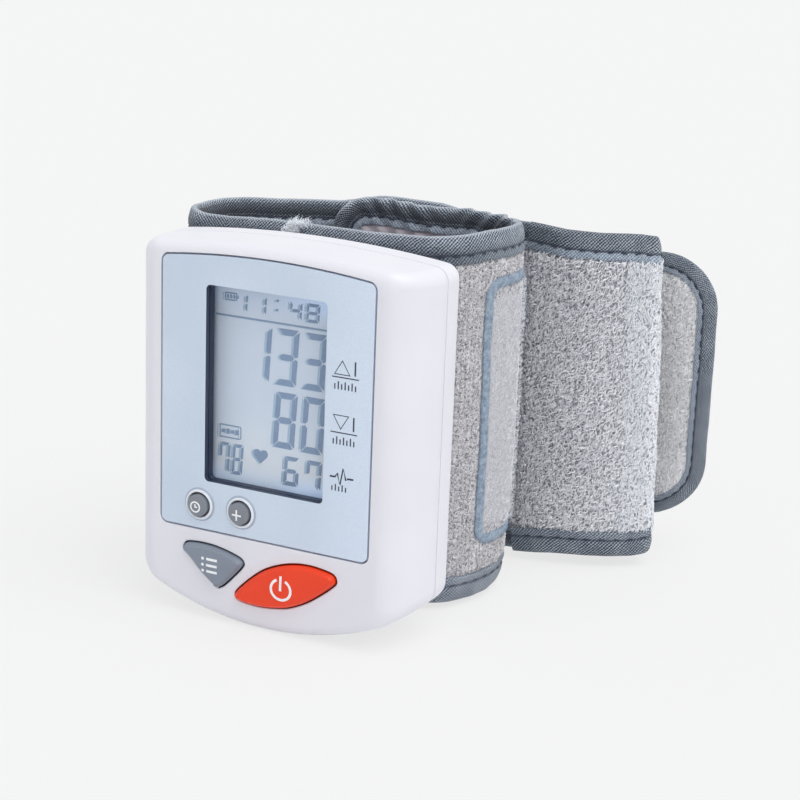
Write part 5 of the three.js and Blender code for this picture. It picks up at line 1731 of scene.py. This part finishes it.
def make_loose_yarns():
    """Curls and stray ends of the pile that stand proud of the cloth, and the frayed white yarn that is wound
    round the tape on the near rim of the loop.
    """
    cuff = scattered(41, 7000, front_middle - 49, front_middle - 20, 6, cuff_height - 6, off_patch)
    nap = scattered(42, 2600, patch_end - 20, patch_end - 2.6, patch_z - 25.4, patch_z + 25.4)
    hairs = scattered(47, 1100, patch_end - 22, patch_end - 14, patch_z - 25.6, patch_z + 25.6)
    band = scattered(43, 10000, band_first + 1, flap_first + 4.5, 4, 72, on_band)
    tab = scattered(46, 3000, band_end - 15, band_end - 4.4, 8, 68, on_band)
    fuzz = scattered(44, 3600, flap_first - 5, flap_first + 4.8, 9, 67)
    tuft = front_middle + 8.2
    wound = scattered(45, 520, tuft - 1.5, tuft + 1.5, cuff_height - 4.4, cuff_height + 0.3)
    wound[:, 0] += 0.8 - 0.3 * (wound[:, 1] - cuff_height + 2.6) ** 2
    ends = scattered(48, 40, tuft - 3.2, tuft + 0.8, cuff_height - 0.7, cuff_height + 0.5)
    for name, strip, spots, yarn, *curl in (
        ("cuff_curls", cuff_strip, cuff, warm_yarn, 51, 0.85, 0.25, 0.075, 1.15, 0, 110, 50),
        ("patch_nap", cuff_strip, nap, loop_yarn, 52, 0.9, 0.12, 0.05, 1.45, 0, 125, 25),
        ("patch_hairs", cuff_strip, hairs, fray_yarn, 57, 1.5, 1.1, 0.05, 1.4, 0.75, 60, 60),
        ("band_curls", band_strip, band, loop_yarn, 53, 1.2, 0.4, 0.11, 1.2, 0, 60, 28),
        ("tab_curls", band_strip, tab, lit_tab_yarn, 56, 1.3, 0.35, 0.115, 1.2, 0, 68, 26),
        ("fold_hairs", band_strip, fuzz, fray_yarn, 54, 1.3, 0.45, 0.07, 1.3, 0.25, 80, 22),
        ("frayed_tuft", cuff_strip, wound, fray_yarn, 55, 1.8, 1.0, 0.07, 1.2, 0.3, 80, 35),
        ("tuft_ends", cuff_strip, ends, fray_yarn, 58, 2.6, 0.6, 0.06, 0.5, 0.2, 110, 24),
    ):
        fasten(make_yarns(name, strip, spots, yarn, *curl), strip, "pile_grey")


def make_pad():
    """Soft pad inside the front of the loop that holds the stiffener and the air bladder."""
    start, end = front_middle - 30, front_middle + 25
    s, share = np.linspace(start, end, 90)[:, None], np.linspace(-1, 1, 90)[None, :]
    z = middle_z + 34.9 * share + 0 * s
    s = s + 0 * z
    u = (s - start) / (end - start) * 2 - 1
    crown = (1 - np.abs(u) ** 6) * (1 - np.abs(share) ** 8)
    inner = -1.25 - 0.5 - 3.9 * crown - 0.15 * (value_noise(s, z, 10, 31) - 0.5)
    sheets = [cuff_route.at(s, -1.1, z), cuff_route.at(s, inner, z)]
    pad = closed_sheet("cuff_pad", sheets, s, z, [lining], 60)
    finish_piece(pad, "housing", "lining_pink", "cuff_stiffener", "air_bladder", "cuff_lining")


# Nodes that stay as they are, by their finish

plain_nodes = [
    (steel, "cover_screw_1", "cover_screw_2", "cover_screw_3", "cover_screw_4", "battery_bridge",
     "battery_contact_plus", "battery_contact_minus", "pump_motor", "release_valve"),
    (dark_plastic, "lcd_holder", "clock_switch", "plus_switch", "memory_switch", "power_switch", "pump_head",
     "pressure_sensor", "processor_chip", "buzzer", "air_port", "cuff_mount_plate"),
    (rubber, "connector_strip_top", "connector_strip_bottom"),
    (tube_plastic, "air_manifold", "air_tube"),
    (cell_metal, "battery_1", "battery_2"),
    (frame_plastic, "lcd_bezel"),
    (lens_plastic, "display_lens"),
    (display_grey, "lcd_panel"),
    (board_green, "circuit_board"),
]

# Floor and light


def add_stage():
    bpy.ops.mesh.primitive_grid_add(x_subdivisions=2, y_subdivisions=2, size=12)
    floor = bpy.context.object
    floor.name = "floor"
    floor.data.materials.append(floor_finish())


def add_light():
    studio = Finish("studio", bpy.data.worlds)
    dome = studio.node("ShaderNodeBackground", None, {"Color": (0.96, 0.98, 1.0, 1), "Strength": 0.66})
    backdrop = studio.node("ShaderNodeBackground", None, {"Color": studio_white, "Strength": 1.0})
    both = studio.node("ShaderNodeMixShader", None, {0: studio.seen(), 1: dome, 2: backdrop})
    studio.node("ShaderNodeOutputWorld", None, {"Surface": both})
    bpy.context.scene.world = studio.owner
    lamps = ("side_light", 76, 62, 1.6, 50), ("front_light", -10, 30, 0.1, 80)
    for name, turn, rise, strength, spread in lamps:
        data = bpy.data.lights.new(name, "SUN")
        data.energy = strength
        data.angle = math.radians(spread)
        lamp = bpy.data.objects.new(name, data)
        scene_objects.link(lamp)
        way = way_to(math.radians(turn), math.radians(rise))
        lamp.rotation_euler = way.to_track_quat("Z", "Y").to_euler()


add_camera()
add_stage()
add_light()
bpy.context.scene.view_settings.view_transform = "Standard"

for finish, *names in plain_nodes:
    for name in names:
        nodes[name].data.materials.clear()
        nodes[name].data.materials.append(finish)

make_front_cover()
make_rear_cover()
make_battery_door()
make_faceplate()
for name, x in round_keys.items():
    make_key_lip(name, x)
make_large_key("memory", memory_outline, memory_place, slate_key, "memory_grey")
make_large_key("power", power_outline, power_place, orange_key, "power_orange")
for name, x in round_keys.items():
    make_round_key(name, x)
make_display()
make_labels()
make_round_key_marks()
make_large_key_marks()
make_cuff()
make_wrap()
make_band()
make_patch()
make_loose_yarns()
make_pad()
